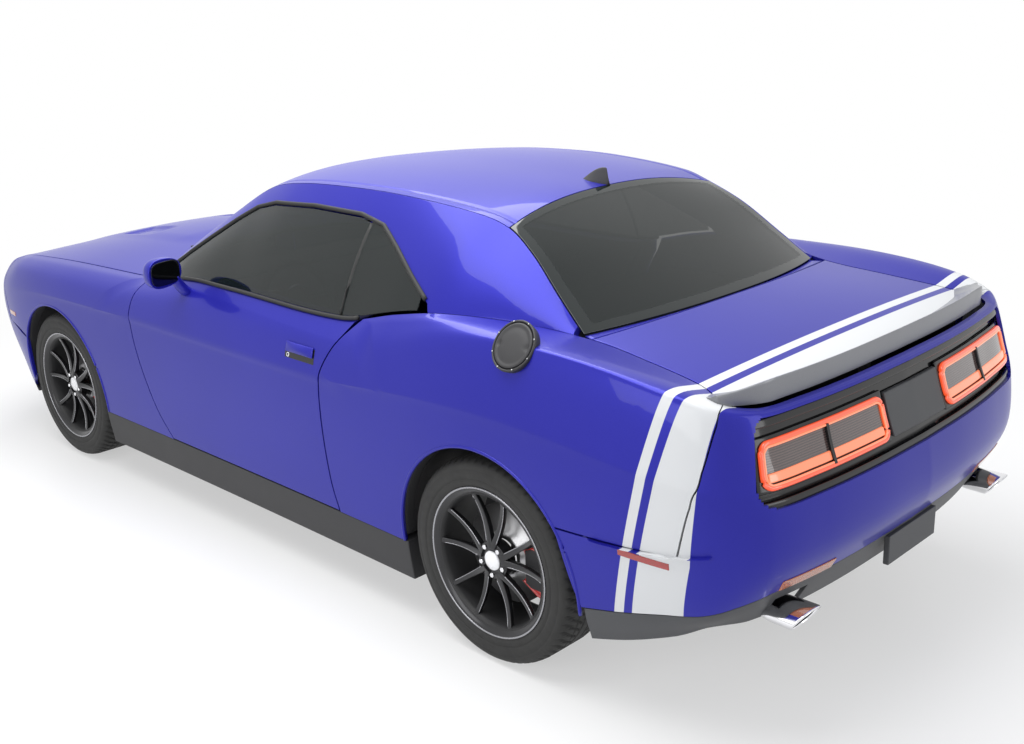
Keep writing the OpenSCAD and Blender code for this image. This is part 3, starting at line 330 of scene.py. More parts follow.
# %% The shell
def shell(name, G, I, material, body, keep=None, width=0.0018, inner=None, uv=False):
    """Closed piece between the outer grid G and the inner grid I; keep says which cells stay."""
    n, m = G.shape[0] - 1, G.shape[1] - 1
    K = np.ones((n, m), bool) if keep is None else keep
    d = (G - I).reshape(-1, 3); inward = (normals(G).reshape(-1, 3) * d).sum() < 0
    idx = np.arange((n + 1) * (m + 1)).reshape(n + 1, m + 1); c = idx.size
    ring = lambda P: np.stack([P[:-1, :-1], P[1:, :-1], P[1:, 1:], P[:-1, 1:]], -1)
    top = ring(idx)[K]; F = [top, top[:, ::-1] + c]
    kp = np.pad(K, 1)
    for di, dj, (a, b) in ((0, -1, (0, 1)), (1, 0, (1, 2)), (0, 1, (2, 3)), (-1, 0, (3, 0))):
        lone = K & ~kp[1 + di:n + 1 + di, 1 + dj:m + 1 + dj]
        q = ring(idx)[lone]
        F.append(np.stack([q[:, b], q[:, a], q[:, a] + c, q[:, b] + c], -1))
    counts = [len(f) for f in F]; F = np.concatenate(F)
    if inward: F = F[:, ::-1]
    V = np.concatenate([G.reshape(-1, 3), I.reshape(-1, 3)])
    used = np.unique(F)
    new = np.full(len(V), -1)
    new[used] = np.arange(len(used))
    groups = np.zeros(len(F), int)
    mats = [material]
    if inner is not None:
        groups[counts[0]:counts[0] + counts[1]] = 1
        mats.append(inner)
    o = mesh_object(name, V[used], new[F], mats, body, groups=groups)
    if uv:
        W = np.stack(np.meshgrid(np.linspace(0, 1, n + 1), np.linspace(0, 1, m + 1), indexing="ij"),
            -1).reshape(-1, 2)
        W = np.concatenate([W, W])[used]
        lay = o.data.uv_layers.new(name="UVMap")
        loops = np.empty(len(o.data.loops), int)
        o.data.loops.foreach_get("vertex_index", loops)
        lay.data.foreach_set("uv", W[loops].ravel())
    return bevel(o, width) if width else o
def sink(G, d, flat=()):
    """The grid moved d mm inwards; the columns in flat move level, so neighbours don't cross."""
    nrm = normals(G) * facing(G, G * np.array([0.6, 0, 0]) + np.array([0, 0, 500.0]))
    for j in flat:
        nrm[:, j, 2] = 0; nrm[:, j] /= np.linalg.norm(nrm[:, j], axis=-1, keepdims=True)
    return G - nrm * d
def mix(a, b, t): return np.asarray(a, float) + (np.asarray(b, float) - np.asarray(a, float)) * t
def fine(P, k):
    """Each stretch of a polyline cut into k equal parts."""
    return sample(P, np.arange(k * (len(P) - 1) + 1) / k)
def panel(name, G, material, body, thick=14.0, flat=(), **kw):
    return shell(name, G, sink(G, thick, flat), material, body, **kw)
print("panel builder ready")

# %% [markdown]
# ## Paint
# The blue is a metallic base under a clear coat: fine flakes change the base a little from
# point to point, and the coat gives the sharp reflections. The two white stripes are cut
# vinyl that wraps the tail; they lean back on the sides and run straight across the deck,
# so one slanted distance gives both.

# %% Paint, stripes and the plain finishes
def paint_finish(name):
    f = Finish(name, rough=0.38, metal=0.35, Coat_Weight=0.3, Coat_Roughness=0.03,
        Specular_IOR_Level=0.12)
    x, _, z = f.axes()
    flake = f.noise(900.0, 1.0)
    cloud = f.noise(1.6, 2.0)
    blue = f.mix(flake * 0.55 + cloud * 0.25, (0.008, 0.008, 0.21), (0.030, 0.030, 0.42))
    q = x + z.min(1.12) * 0.215 - 0.0903
    side_end = q - (z - 0.62).max(0.0) * 0.14
    thin, broad = f.band(q, -2.0125, -1.9795), f.band(q, -9.0, -2.0405)
    mask = thin.max(broad.min(f.band(side_end, -2.2015, 9.0)))
    f.set("Base Color", f.mix(mask, blue, (0.60, 0.61, 0.62)))
    f.set("Metallic", 0.35 - mask * 0.35)
    f.set("Roughness", flake * 0.05 + 0.33 + mask * 0.05)
    return f.bump(f.noise(55.0, 2.0), 0.035, 0.0006)
PAINT = paint_finish("blue_metallic_with_stripes")
print("paint ready")

# %% [markdown]
# ### Plastic and metal
# Moulded trim has a fine grain and an uneven gloss, and metal has marks that change its gloss. A
# plain colour looks like clay beside the paint, so each plastic gets two noises, one fine and one
# slow, and each metal one noise for its marks.

# %% Plastics and metals
def plastic(name, colour, rough, grain=0.15, scale=700.0, **more):
    """Moulded plastic: a fine grain in the normal and a slow change of gloss."""
    f = Finish(name, colour, rough, **more)
    g, slow = f.noise(scale, 2.0), f.noise(7.0, 3.0)
    dark = tuple(c * 0.75 for c in colour)
    light = tuple(min(1, c * 1.25) for c in colour)
    f.set("Base Color", f.mix(slow, dark, light)).set("Roughness", slow * 0.14 + (rough - 0.07))
    return f.bump(g, grain, 0.0006)
BLACK = plastic("grained_black_plastic", (0.018, 0.018, 0.020), 0.55)
GREY = plastic("grey_valance_plastic", (0.045, 0.047, 0.052), 0.5)
GLOSS = plastic("gloss_black_trim", (0.006, 0.006, 0.007), 0.12, 0.02, 60.0)
UNDER = plastic("underbody_sealer", (0.022, 0.022, 0.024), 0.75, 0.5, 160.0)
SPOILER = Finish("satin_grey_paint", (0.19, 0.195, 0.21), 0.36, 0.35, Coat_Weight=0.25)
SPOILER.set("Base Color", SPOILER.mix(SPOILER.noise(800.0), (0.15, 0.155, 0.17),
    (0.24, 0.245, 0.26)))
SPOILER.bump(SPOILER.noise(80.0), 0.03, 0.0005)
def metal(name, colour, rough, streak=0.08, scale=(40, 40, 40)):
    """Metal with fine marks that change its gloss."""
    f = Finish(name, colour, rough, 1.0)
    at = f.node("ShaderNodeMapping", {}, {"Vector": f.node("ShaderNodeTexCoord", out="Object"),
        "Scale": scale})
    g = f.noise(6.0, 4.0, at=at)
    return f.set("Roughness", g * streak + rough)
CHROME = metal("polished_chrome", (0.78, 0.78, 0.80), 0.05)
STEEL = metal("turned_steel", (0.42, 0.42, 0.43), 0.28, 0.2)
CAST = metal("cast_iron", (0.12, 0.12, 0.125), 0.55, 0.3)
RIM = Finish("satin_black_alloy", (0.018, 0.018, 0.020), 0.3, 0.55, Coat_Weight=0.35,
    Coat_Roughness=0.12)
RIM.set("Roughness", RIM.noise(30.0) * 0.12 + 0.26).bump(RIM.noise(400.0), 0.04, 0.0005)
CUT = metal("bright_cut_alloy", (0.34, 0.34, 0.36), 0.22, 0.1)
MIRROR = metal("mirror_silver", (0.05, 0.052, 0.06), 0.03, 0.03)
CALIPER = plastic("red_caliper_paint", (0.45, 0.012, 0.010), 0.3, 0.06, 120.0, Coat_Weight=0.6)
print("plastics and metals ready")

# %% [markdown]
# ### Glass
# The windows are tinted dark and half clear. Alpha lets the cabin show without the cost of
# refraction, and the black border that hides the glue on the screens is worked out from the
# distance to the edge of the sheet.

# %% Glass and seals
def glass_finish(name, frit):
    """Dark tinted glass; where frit, a black ceramic border is printed round its edge."""
    f = Finish(name, (0.004, 0.008, 0.008), 0.015, 0.0, Coat_Weight=0.15, Coat_Roughness=0.0)
    clear = f.noise(3.0, 2.0) * 0.02 + 0.70
    if frit:
        u, v = f.axes("UV")[:2]
        edge = ((u - 0.5).abs() - frit[0]).max((v - 0.5).abs() - frit[1])
        border = f.node("ShaderNodeMapRange", {}, [edge, -0.004, 0.004, 0.0, 1.0])
        f.set("Alpha", clear.max(border)).set("Roughness", border * 0.04 + 0.015)
    else: f.set("Alpha", clear)
    return f
GLASS = glass_finish("tinted_glass", None)
SCREEN = glass_finish("screen_glass_with_border", (0.475, 0.472))
BACKLIGHT = glass_finish("back_glass_with_border", (0.44, 0.462))
RUBBER = plastic("black_rubber_seal", (0.010, 0.010, 0.010), 0.7, 0.1, 300.0)
print("paint and finishes ready:", len(bpy.data.materials))

# %% [markdown]
# ## Body panels
# Each panel is bounded by cut lines on the skin. An edge is a list of places (u, level),
# and the panel is filled between its wheel arch or front edge and the edge opposite.

# %% Cut lines and the panels of the side
DOOR_FRONT = [[322, 488], [420, 575], [520, 632], [700, 693], [859, 708], [960, 700], [1060, 676]]
DOOR_REAR = [[322, -692], [450, -660], [680, -645], [857, -662], [960, -716], [1060, -800]]
GAP = 3.0             # half of a shut line
def edge(T, z0, z1, n, dx):
    """Samples of a cut line given by height: (u, level)."""
    z = np.linspace(z0, z1, n + 1); x = curve(T, z)[:, 1] + dx
    return np.stack([x, level(x, z)], -1)
def along(x0, x1, n, l): return np.stack([np.linspace(x0, x1, n + 1), np.full(n + 1, float(l))], -1)
def arch(x, a0, a1, n):
    """Arc of the wheel arch as (u, level)."""
    a = np.radians(np.linspace(a0, a1, n))
    u, z = x + ARCH_R * np.cos(a), WHEEL_Z + ARCH_R * np.sin(a)
    return np.stack([u, level(u, z)], -1)
def between(A, B, m, s=1):
    """Skin grid between two edges of equal length."""
    Q = ruled(A, B, m)
    return skin(Q[..., 0], Q[..., 1], s)
print("cut lines ready")

# %% [markdown]
# ### Fenders, quarters and doors
# A fender is all that lies between its wheel arch and the line where the hood and the door
# begin. Both edges get the same number of samples, and the rows run straight between them,
# so the arch is a true arc and no opening has to be cut.

# %% Grids of the side panels
LOW = math.degrees(math.asin((WHEEL_Z - 322) / ARCH_R))
def fender_grid(s):
    B = np.concatenate([edge(DOOR_FRONT, 322.6, 985, 36, GAP), along(712, 2078, 60, 6.98)[1:],
        fine([[2080, 6.3], [2080, level(2080, 804)], [2063, level(2063, 640)],
        [2060, level(2060, 600)]], 7)])
    return between(arch(AXLE_F, 180 + LOW, 27.5, len(B)), B, 22, s)
def quarter_grid(s):
    tail = [[-2392, 6.9], [-2391, 6.3]] + [[x + 6, float(level(x, z))] for x,
        z in ((-2379, 1030), (-2339, 905), (-2306, 800), (-2266, 642))]
    B = np.concatenate([edge(DOOR_REAR, 322.6, 1040, 36, -GAP - 1),
        along(-800, -2380, 78, 6.996)[1:], fine(tail, 6)])
    return between(arch(AXLE_R, -LOW, 143.4, len(B)), B, 26, s)
def door_grid(s):
    A = np.concatenate([edge(DOOR_FRONT, 327, 1000, 44, -GAP),
        fine([[680 - GAP, 6.4], [640, 6.97]], 6)])
    B = np.concatenate([edge(DOOR_REAR, 327, 1000, 44, GAP),
        fine([[-786 + GAP, 6.4], [-800 + GAP, 6.97]], 6)])
    return between(A, B, 60, s)
FILLER = (-1615, 5.35)
def filler_frame():
    """Place of the fuel cap: its middle, and unit vectors forward, up the skin and outward."""
    p = skin(*FILLER)
    a = skin(FILLER[0] + 20, FILLER[1]) - skin(FILLER[0] - 20, FILLER[1])
    b = skin(FILLER[0], FILLER[1] + 0.1) - skin(FILLER[0], FILLER[1] - 0.1)
    a, n = a / np.linalg.norm(a), np.cross(b, a); n = n / np.linalg.norm(n)
    return p, a, -np.cross(a, n), n
print("side grids ready")

# %% [markdown]
# ### Both sides
# Left and right come from one grid with the side turned, as a maker mirrors the press
# tools. The door is thicker than the other panels, so its inner grid stands on the flat
# inner face and leans in with the glass.

# %% Left and right panels
SIDE = {1: "left", -1: "right"}
for s in (1, -1):
    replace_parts(panel("fender_skin_" + SIDE[s], fender_grid(s), PAINT, "shell"),
        "fender_" + SIDE[s])
    q = panel("quarter_skin_" + SIDE[s], quarter_grid(s), PAINT, "shell")
    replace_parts(q, "quarter_" + SIDE[s])
    G = door_grid(s); I = G.copy()
    lean = np.maximum(0, G[..., 2] - 700) * 0.14
    I[..., 1] = s * (BODY_INNER - lean)
    I[:, 0, 0] -= 8
    I[:, -1, 0] += 12
    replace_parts(shell("door_skin_" + SIDE[s], G, I, PAINT, "door_" + SIDE[s], inner=BLACK),
        "door_" + SIDE[s])
print("sides: fenders, doors and quarters")

# %% [markdown]
# ## Nose and tail covers
# The bumper covers run from one wheel arch round to the other. Columns near the corner keep
# to the cut line and then settle to the common levels, so the lower line stays even.

# %% Bumper covers
def fascia(ends, us, levels):
    """Grid of (u, level, side) from one end cut round to the other."""
    n = len(us) - 1; cols = []
    for side_ in (1, -1):
        for i in (range(n + 1) if side_ > 0 else range(n - 1, -1, -1)):
            e = np.array(ends)
            u = e[:, 0] if i == 0 else (e[:, 0] + us[2]) / 2 if i == 1 else np.full(len(e),
                float(us[i]))
            l = e[:, 1] if i == 0 else mix(e[:, 1], levels, min(1, i / 2))
            cols.append(np.stack([u, l, np.full(len(e), float(side_))], -1))
    return np.array(cols)
def refine(C, k, j):
    """Places between the columns and rows of C, on the skin."""
    n, m = C.shape[0] - 1, C.shape[1] - 1
    a, b = np.arange(n * k + 1) / k, np.arange(m * j + 1) / j
    i0, j0 = np.minimum(a.astype(int), n - 1), np.minimum(b.astype(int), m - 1)
    fa, fb = (a - i0)[:, None, None], (b - j0)[None, :, None]
    g = lambda i, q: C[i][:, q]
    mid = (g(i0, j0) * (1 - fa) + g(i0 + 1, j0) * fa) * (1 - fb) + (g(i0, j0 + 1) * (1 - fa)
        + g(i0 + 1, j0 + 1) * fa) * fb
    half = n // 2
    s = np.where(np.arange(n * k + 1) <= half * k, 1.0, -1.0)[:, None]
    return skin(mid[..., 0], mid[..., 1], s)
def lv(u, z): return float(level(u, z))
NOSE_U = [2088, 2200, 2330, 2440, 2560, 2700, 2880, 3120]
TAIL_U = [-2398, -2470, -2548, -2650, -2790, -2950, -3110, -3300]
fx, fz = AXLE_F + ARCH_R * math.cos(math.radians(25)), WHEEL_Z + ARCH_R * math.sin(math.radians(25))
NOSE = fascia([[2030, 0.2], [AXLE_F + ARCH_R, 1], [fx + 2, lv(fx, fz + 8)],
    [fx + 60, lv(fx + 60, 559)], [2071, lv(2071, 602)], [2085, lv(2085, 804)], [2088, 6.3],
    [2088, 6.9]], NOSE_U, [0.2, 1, 2, 2.5, 3, 5, 6, 6.9])
rx, rz = AXLE_R + ARCH_R * math.cos(math.radians(144)), WHEEL_Z + ARCH_R * math.sin(
    math.radians(144))
TAIL = fascia([[AXLE_R - ARCH_R - 10, 1], [rx - 2, lv(rx, rz - 3)], [-2266, lv(-2266, 636)],
    [-2306, lv(-2306, 800)], [-2339, lv(-2339, 905)], [-2379, lv(-2379, 1030)], [-2397, 6.3],
    [-2400, 6.9]], TAIL_U, [1, 2, 2.4, 3, 4, 5, 6, 6.9])
K, J = 16, 12         # fine cells in each column and row of a cover
def window_mask(G, box, radius):
    """Cells of the fine grid that stay: all but a box of columns and rows with round corners."""
    n, m = G.shape[0] - 1, G.shape[1] - 1
    a, b = np.meshgrid((np.arange(n) + 0.5) / K, (np.arange(m) + 0.5) / J, indexing="ij")
    (a0, a1), (b0, b1) = box; ra, rb = radius
    off_a, off_b, half_a, half_b = np.abs(a - (a0 + a1) / 2), np.abs(b - (b0 + b1) / 2), (a1
        - a0) / 2, (b1 - b0) / 2
    da, db = np.maximum(off_a - half_a + ra, 0), np.maximum(off_b - half_b + rb, 0)
    inside = (off_a < half_a) & (off_b < half_b)
    return ~(inside & ((da / ra) ** 2 + (db / rb) ** 2 < 1))
print("covers sampled:", len(NOSE) * K, "columns")

# %% [markdown]
# The openings are left out of the fine grid with round corners. Behind them sit the dark
# tail panel and the grille, so that the covers show their real thickness.

# %% Nose and tail
G = refine(NOSE, K, J)
keep = window_mask(G, ((2, 12), (4, 5)), (0.55, 0.42)) & window_mask(G, ((4, 10), (1, 2)),
    (0.4, 0.3))
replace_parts(panel("front_cover", G, PAINT, "shell", flat=[0], keep=keep, width=0.0025),
    "front_bumper")
T = refine(TAIL, K, J)
keep = window_mask(T, ((1.6, 12.4), (2.95, 5.2)), (0.7, 0.7))
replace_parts(panel("rear_cover", T, PAINT, "shell", flat=[0], keep=keep, width=0.0035),
    "rear_bumper")
print("covers built")

# %% [markdown]
# ### Points round the ends
# Lamps, recess and grille bars follow the round of the nose and tail at a set depth. A
# width and a height are easier to think in than places on the plan, so the plan is looked
# up from the width.

# %% Strips that follow the ends
def round_end(y, z, ys, us, depth):
    """Points round the nose or tail at width y and height z, depth mm behind the skin."""
    y, z = np.broadcast_arrays(np.asarray(y, float), np.asarray(z, float))
    u = np.interp(np.abs(y), ys, us)
    p = skin(u, level(u, z))
    t = curve(PLAN, u + 1)[..., 1:] - curve(PLAN, u - 1)[..., 1:]
    n = np.stack([-t[..., 1], t[..., 0], t[..., 0] * 0], -1)
    n /= np.linalg.norm(n, axis=-1, keepdims=True)
    return (p - n * np.asarray(depth, float)[..., None]) * np.stack(
        [np.ones(y.shape), np.where(y < 0, -1.0, 1.0), np.ones(y.shape)], -1)
UT = np.linspace(-3300, -2440, 120); YT = skin(UT, 4.0)[:, 1]
UN = np.linspace(3120, 2200, 120); YN = skin(UN, 4.0)[:, 1]
def tail_at(y, z, depth=0.0): return round_end(y, z, YT, UT, depth)
def nose_at(y, z, depth=0.0): return round_end(y, z, YN, UN, depth)
def strip(name, at, y, z, d0, d1, material, uv=False, width=0.0015):
    """A slab that follows the nose or tail, from depth d0 to d1, over widths y and heights z."""
    Y, Z = np.meshgrid(y, z, indexing="ij")
    return shell(name, at(Y, Z, d0), at(Y, Z, d1), material, "shell", width=width, uv=uv)
back = strip("tail_recess", tail_at, np.linspace(-860, 860, 90), np.linspace(770, 1035, 10), 34, 40,
    GLOSS)
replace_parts(back, "tail_panel")
strip("tail_recess_sill", tail_at, np.linspace(-800, 800, 80), np.linspace(772, 806, 4), 10, 38,
    GLOSS, width=0.004)
strip("tail_recess_brow", tail_at, np.linspace(-815, 815, 80), np.linspace(1006, 1030, 4), 8, 38,
    GLOSS, width=0.004)
strip("tail_centre_panel", tail_at, np.linspace(-168, 168, 24), np.linspace(836, 968, 8), 14, 30,
    GREY, width=0.004)
for s in (1, -1):
    strip("tail_lamp_bezel_" + SIDE[s], tail_at, s * np.linspace(178, 792, 50),
        np.linspace(826, 978, 12), 20, 32, GLOSS, width=0.004)
print("tail recess built")

# %% [markdown]
# ### Bars and rounded rings
# Seals, lamp rings and pipes are round bars along a line. A curve object with a bevel could
# do it, but the ends and the facets are easier to hold as a grid of rings.

# %% Bars and rings
def tube(name, P, r, material, body, closed=False, sides=14, squash=(1, 1)):
    """Round bar of radius r (one value or one per point) along the points P."""
    P = np.asarray(P, float); n = len(P)
    d = np.roll(P, -1, 0) - np.roll(P, 1, 0) if closed else np.gradient(P, axis=0)
    d /= np.linalg.norm(d, axis=1, keepdims=True)
    ref = np.where(np.abs(d[:, 2:3]) > 0.9, np.array([1.0, 0, 0]), np.array([0, 0, 1.0]))
    a = np.cross(d, ref)
    a /= np.linalg.norm(a, axis=1, keepdims=True)
    b = np.cross(a, d)
    w = turn(sides)[None, :, None]
    r = np.broadcast_to(np.asarray(r, float), (n,))[:, None, None]
    V = P[:, None] + r * (squash[0] * np.cos(w) * a[:, None] + squash[1] * np.sin(w) * b[:, None])
    F = flip(quads(n, sides, closed, True).tolist()) + ([] if closed else caps(n, sides))
    return mesh_object(name, V, F, material, body)
def ring_path(y0, y1, z0, z1, r, n=14):
    """Rounded rectangle in width and height, as (y, z) points."""
    out = []
    for cy, cz, a0 in ((y1 - r, z1 - r, 0), (y0 + r, z1 - r, 90), (y0 + r, z0 + r, 180),
        (y1 - r, z0 + r, 270)):
        a = np.radians(np.linspace(a0, a0 + 90, n))
        out.append(np.stack([cy + r * np.cos(a), cz + r * np.sin(a)], -1))
    return by_length(np.concatenate([*out, out[0][:1]]), 160, last=False)
print("bars ready")

# %% [markdown]
# ### Lamp finishes
# Each tail lamp is a lit ring round a smoked lens. The ring gives off light at about the
# level at which it is drawn, and the lenses get ribs or cells in the normal, because
# moulded optics break up the reflection.

# %% Lamp finishes
def glow(name, colour, strength):
    f = Finish(name, colour, 0.2, Emission_Strength=strength, Coat_Weight=1.0)
    f.set("Emission Color", f.mix(f.noise(25.0) * 0.4, colour, tuple(c * 0.8 for c in colour)))
    return f.set("Base Color", f.mix(f.noise(200.0), (0.2, 0.01, 0.005), (0.25, 0.02, 0.01)))
RING = glow("lamp_ring_glow", (1.0, 0.11, 0.03), 0.95)
RING_CORE = glow("lamp_ring_core", (1.0, 0.30, 0.14), 1.0)
LENS = Finish("smoked_lamp_lens", (0.10, 0.055, 0.05), 0.12, Coat_Weight=1.0, Coat_Roughness=0.02)
lz = LENS.axes()[2]
rib = LENS.node("ShaderNodeMath", {"operation": "SINE"}, [lz * 900.0])
LENS.set("Base Color", LENS.mix(rib * 0.5 + 0.5, (0.045, 0.030, 0.029), (0.11, 0.075, 0.070))).bump(
    rib, 0.25, 0.001)
RED = Finish("red_marker_lens", (0.55, 0.015, 0.008), 0.12, Coat_Weight=1.0, Coat_Roughness=0.02)
cell = RED.node("ShaderNodeTexVoronoi", {}, {"Scale": 130.0, "Randomness": 0.2})
RED.set("Base Color", RED.mix(cell, (0.22, 0.004, 0.003), (0.42, 0.014, 0.008))).bump(cell, 0.3,
    0.001)
AMBER = Finish("amber_reflector_lens", (0.35, 0.06, 0.01), 0.15, Coat_Weight=1.0)
cell = AMBER.node("ShaderNodeTexVoronoi", {}, {"Scale": 150.0, "Randomness": 0.2})
AMBER.set("Base Color", AMBER.mix(cell, (0.22, 0.035, 0.008), (0.60, 0.14, 0.02))).bump(cell, 0.3,
    0.001)
print("lamp finishes ready")

# %% [markdown]
# ### Tail lamps
# Rings, bar, lens and divider lie at their own depths behind the cover, so that they
# overlap and shade each other as the parts of a real lamp do.

# %% Tail lamps
lamps = []
for s in (1, -1):
    P = ring_path(196, 770, 842, 962, 30)
    P = tail_at(s * P[:, 0], P[:, 1], np.full(len(P), 15.0))
    lamps.append(tube("tail_lamp_ring_" + SIDE[s], P, 8.5, RING, "shell", closed=True))
    P = ring_path(204, 762, 850, 954, 24)
    P = tail_at(s * P[:, 0], P[:, 1], np.full(len(P), 10.0))
    tube("tail_lamp_core_" + SIDE[s], P, 3.4, RING_CORE, "shell", closed=True)
    strip("tail_lamp_glow_bar_" + SIDE[s], tail_at, s * np.linspace(214, 752, 50),
        np.linspace(856, 880, 5), 12, 20, RING_CORE, width=0.003)
    strip("tail_lamp_lens_" + SIDE[s], tail_at, s * np.linspace(208, 758, 50),
        np.linspace(880, 950, 8), 15, 24, LENS, width=0.003)
    strip("tail_lamp_divider_" + SIDE[s], tail_at, s * np.linspace(478, 490, 4),
        np.linspace(846, 958, 10), 5, 16, GLOSS)
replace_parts(lamps[0], "tail_lamps")
print("nose, tail and tail lamps built")

# %% [markdown]
# ## Hood, roof, lid and screens
# These lie between two mirrored side curves and two end curves: the ends give the shape
# across, the sides the shape along, and a crown lifts the middle like stretched metal.

# %% Sheets
def sheet(side_c, rear, front, crown, n, m, v0=0.0, v1=1.0, w1=1.0, extra=None):
    """Surface across the car: ends mixed along v, corrected by w squared to meet the sides."""
    v, w = np.linspace(v0, v1, n + 1)[:, None], np.linspace(-w1, w1, m + 1)[None, :]
    v, w = np.broadcast_arrays(v, w)
    a = np.abs(w)
    sg = np.where(w < 0, -1.0, 1.0)
    V = v[..., None]
    e = rear(a) * (1 - V) + front(a) * V; one = np.ones(a.shape)
    c = side_c(v) - (rear(one) * (1 - V) + front(one) * V)
    p = e + c * (a * a)[..., None]
    z = p[..., 2] + crown * (1 - w * w) * 4 * v * (1 - v)
    if extra is not None: z = z + extra(p[..., 0], sg * p[..., 1], v, w)
    return np.stack([p[..., 0], sg * p[..., 1], z], -1)
def end_curve(e, dx, px, dz, pz):
    """An end: the corner e drawn to the middle, moved dx and dz by powers of w."""
    return lambda w: np.stack([e[0] + dx * (1 - w ** px), e[1] * w, e[2] + dz * (1 - w ** pz)], -1)
cowl = end_curve(skin(720, 7.0), 230, 2.2, 44, 2)
print("sheets ready")

# %% [markdown]
# ### The hood
# The hood has a raised middle and two shallow scoops. Both are added to the height by a
# formula of smooth steps, which keeps the edges soft where a boolean cut would leave them
# sharp.

# %% Hood
def step(x, a, b):
    t = np.clip((x - a) / (b - a), 0, 1)
    return t * t * (3 - 2 * t)
def hood_shape(x, y, v, w):
    """Twin shallow scoops that sink forward of a raised middle band."""
    a = np.abs(y)
    dome = 7 * step(-a, -430, -300) * step(x, 1050, 1250) * step(-x, -2330, -1900)
    scoop = step(a, 175, 200) * step(-a, -355, -330) * step(x, 1500, 1640) * step(-x, -1840, -1790)
    return dome - 13 * scoop
HOOD = sheet(lambda v: skin(720 + 1580 * v, 7.0), cowl, lambda w: skin(3120 - 820 * w, 7.0), 62,
    110, 110, 0.004, 0.994, 0.993, hood_shape)
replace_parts(panel("hood_skin", HOOD, PAINT, "hood", width=0.002), "hood")
print("hood built")

# %% [markdown]
# ### Roof and screens
# Roof, windshield and back glass share their end curves, so neighbours meet along one line.
# The joint line along the roof is a narrow dip worked into the height.

# %% Roof, windshield and back glass
roof_side = lambda v: curve(RAIL, -1282 + 1362 * v)
roof_rear, roof_front = end_curve(roof_side(0.0), 50, 2, 62, 2.4), end_curve(roof_side(1.0), 70, 2,
    44, 2.4)
def ditch(x, y, v, w):
    """The joint line along each edge of the roof."""
    return -5 * np.exp(-((np.abs(w) - 0.93) / 0.008) ** 2)
ROOF = sheet(roof_side, roof_rear, roof_front, 40, 60, 160, 0.001, 0.999, 0.999, ditch)
I = sink(ROOF, 14)
for j, sg in ((0, 1), (-1, -1)): I[:, j] = ROOF[:, j] + np.array([0, 14.0 * sg, -14])
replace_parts(shell("roof_skin", ROOF, I, PAINT, "shell", width=0.001), "roof")
screen_side = lambda v: curve(RAIL, 80 + 620 * v)
foot = end_curve(screen_side(1.0), 205, 2.2, 26, 2)
W = sheet(screen_side, roof_front, foot, 18, 40, 60, 0.002, 0.999, 0.995)
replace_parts(panel("windshield_glass", W, SCREEN, "shell", GLASS_THICK, uv=True), "windshield")
back_side = lambda v: curve(RAIL, -1690 + 408 * v)
back_foot = end_curve(back_side(0.0), -100, 2.2, 14, 2)
B = sheet(back_side, back_foot, roof_rear, 12, 40, 60, 0.001, 0.9965, 0.991)
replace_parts(panel("back_glass", B, BACKLIGHT, "shell", GLASS_THICK, uv=True), "rear_window")
print("roof and screens built")

# %% [markdown]
# ### Trunk lid and deck
# The lid lies between the two shoulders behind the back glass. A narrow strip of deck fills
# the gap between them and stays with the body when the lid opens.

# %% Trunk lid and deck
lid_side = lambda v: skin(-2392 + 652 * v, 7.0)
lid_rear, lid_front = end_curve(lid_side(0.0), -112, 2.3, -4, 2), end_curve(lid_side(1.0), -64, 2.2,
    18, 2)
LID = sheet(lid_side, lid_rear, lid_front, 8, 50, 90, 0.006, 0.994, 0.992)
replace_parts(panel("trunk_lid_skin", LID, PAINT, "trunk_lid"), "trunk_lid")
w = np.linspace(-0.985, 0.985, 91)
a, sg = np.abs(w), np.sign(w)[:, None] * [0, 1, 0] + [1, 0, 1]
near_glass, near_lid = back_foot(a) * sg + [2, 0, -7], lid_front(a) * sg + [7, 0, -3]
D = ruled(near_glass, near_lid, 5)
shell("deck_strip", D, D - np.array([0, 0, 5.0]), PAINT, "shell", width=0)
print("hood, roof, screens and trunk lid")

# %% [markdown]
# ## Pillars and side glass
# One frame runs from the foot of the windshield over the roof edge to the deck. Its inner
# edge is the window opening, and the fan of lines at its rear fills the panel behind the
# side window.

# %% Frames and side glass
WINDOW = np.array([[612, 1034], [470, 1112], [330, 1202], [190, 1286], [70, 1346], [-60, 1376],
    [-330, 1392], [-620, 1390], [-760, 1366], [-880, 1304], [-1010, 1232], [-1128, 1172]], float)
def window_z(x): return np.interp(-np.asarray(x, float), -WINDOW[:, 0], WINDOW[:, 1])
def frame_edges(k):
    """Inner and outer edge of the side frame, each stretch in k parts, as (x, t)."""
    X = np.r_[np.linspace(692, 80, 7 * k, endpoint=False),
        np.linspace(80, -1282, 9 * k, endpoint=False), np.linspace(-1282, -1664, 6 * k + 1)]
    f = np.linspace(0, 11, len(X))
    wx, wz = np.interp(f, range(12), WINDOW[:, 0]), np.interp(f, range(12), WINDOW[:, 1])
    A = np.stack([wx, side_t(wx, wz)], -1)
    Bq = np.stack([X, np.full(len(X), 0.997)], -1)
    q = np.arange(1, 5 * k + 1) / (5 * k); t0 = A[-1, 1]
    A = np.r_[A, np.stack([-1128 - 15 * q, t0 + (0.003 - t0) * q], -1)]
    Bq = np.r_[Bq, np.stack([-1664 - 15 * q, 0.997 + (0.003 - 0.997) * q], -1)]
    return A, Bq
for s in (1, -1):
    A, Bq = frame_edges(5)
    Q = ruled(A, Bq, 14)
    F = side(Q[..., 0], Q[..., 1], s)
    I = sink(F, 24)
    I[:, -1] = F[:, -1] + np.array([0, -18 * s, -18])
    o = shell("side_frame_" + SIDE[s], F, I, PAINT, "shell", width=0.0015)
    if s > 0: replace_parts(o, "side_frames")
    trim = side(A[:110, 0], A[:110, 1] + 0.012, s) + np.array([0, 1.5 * s, 0])
    tube("window_trim_" + SIDE[s], trim, 8.5, RUBBER, "shell", sides=10)
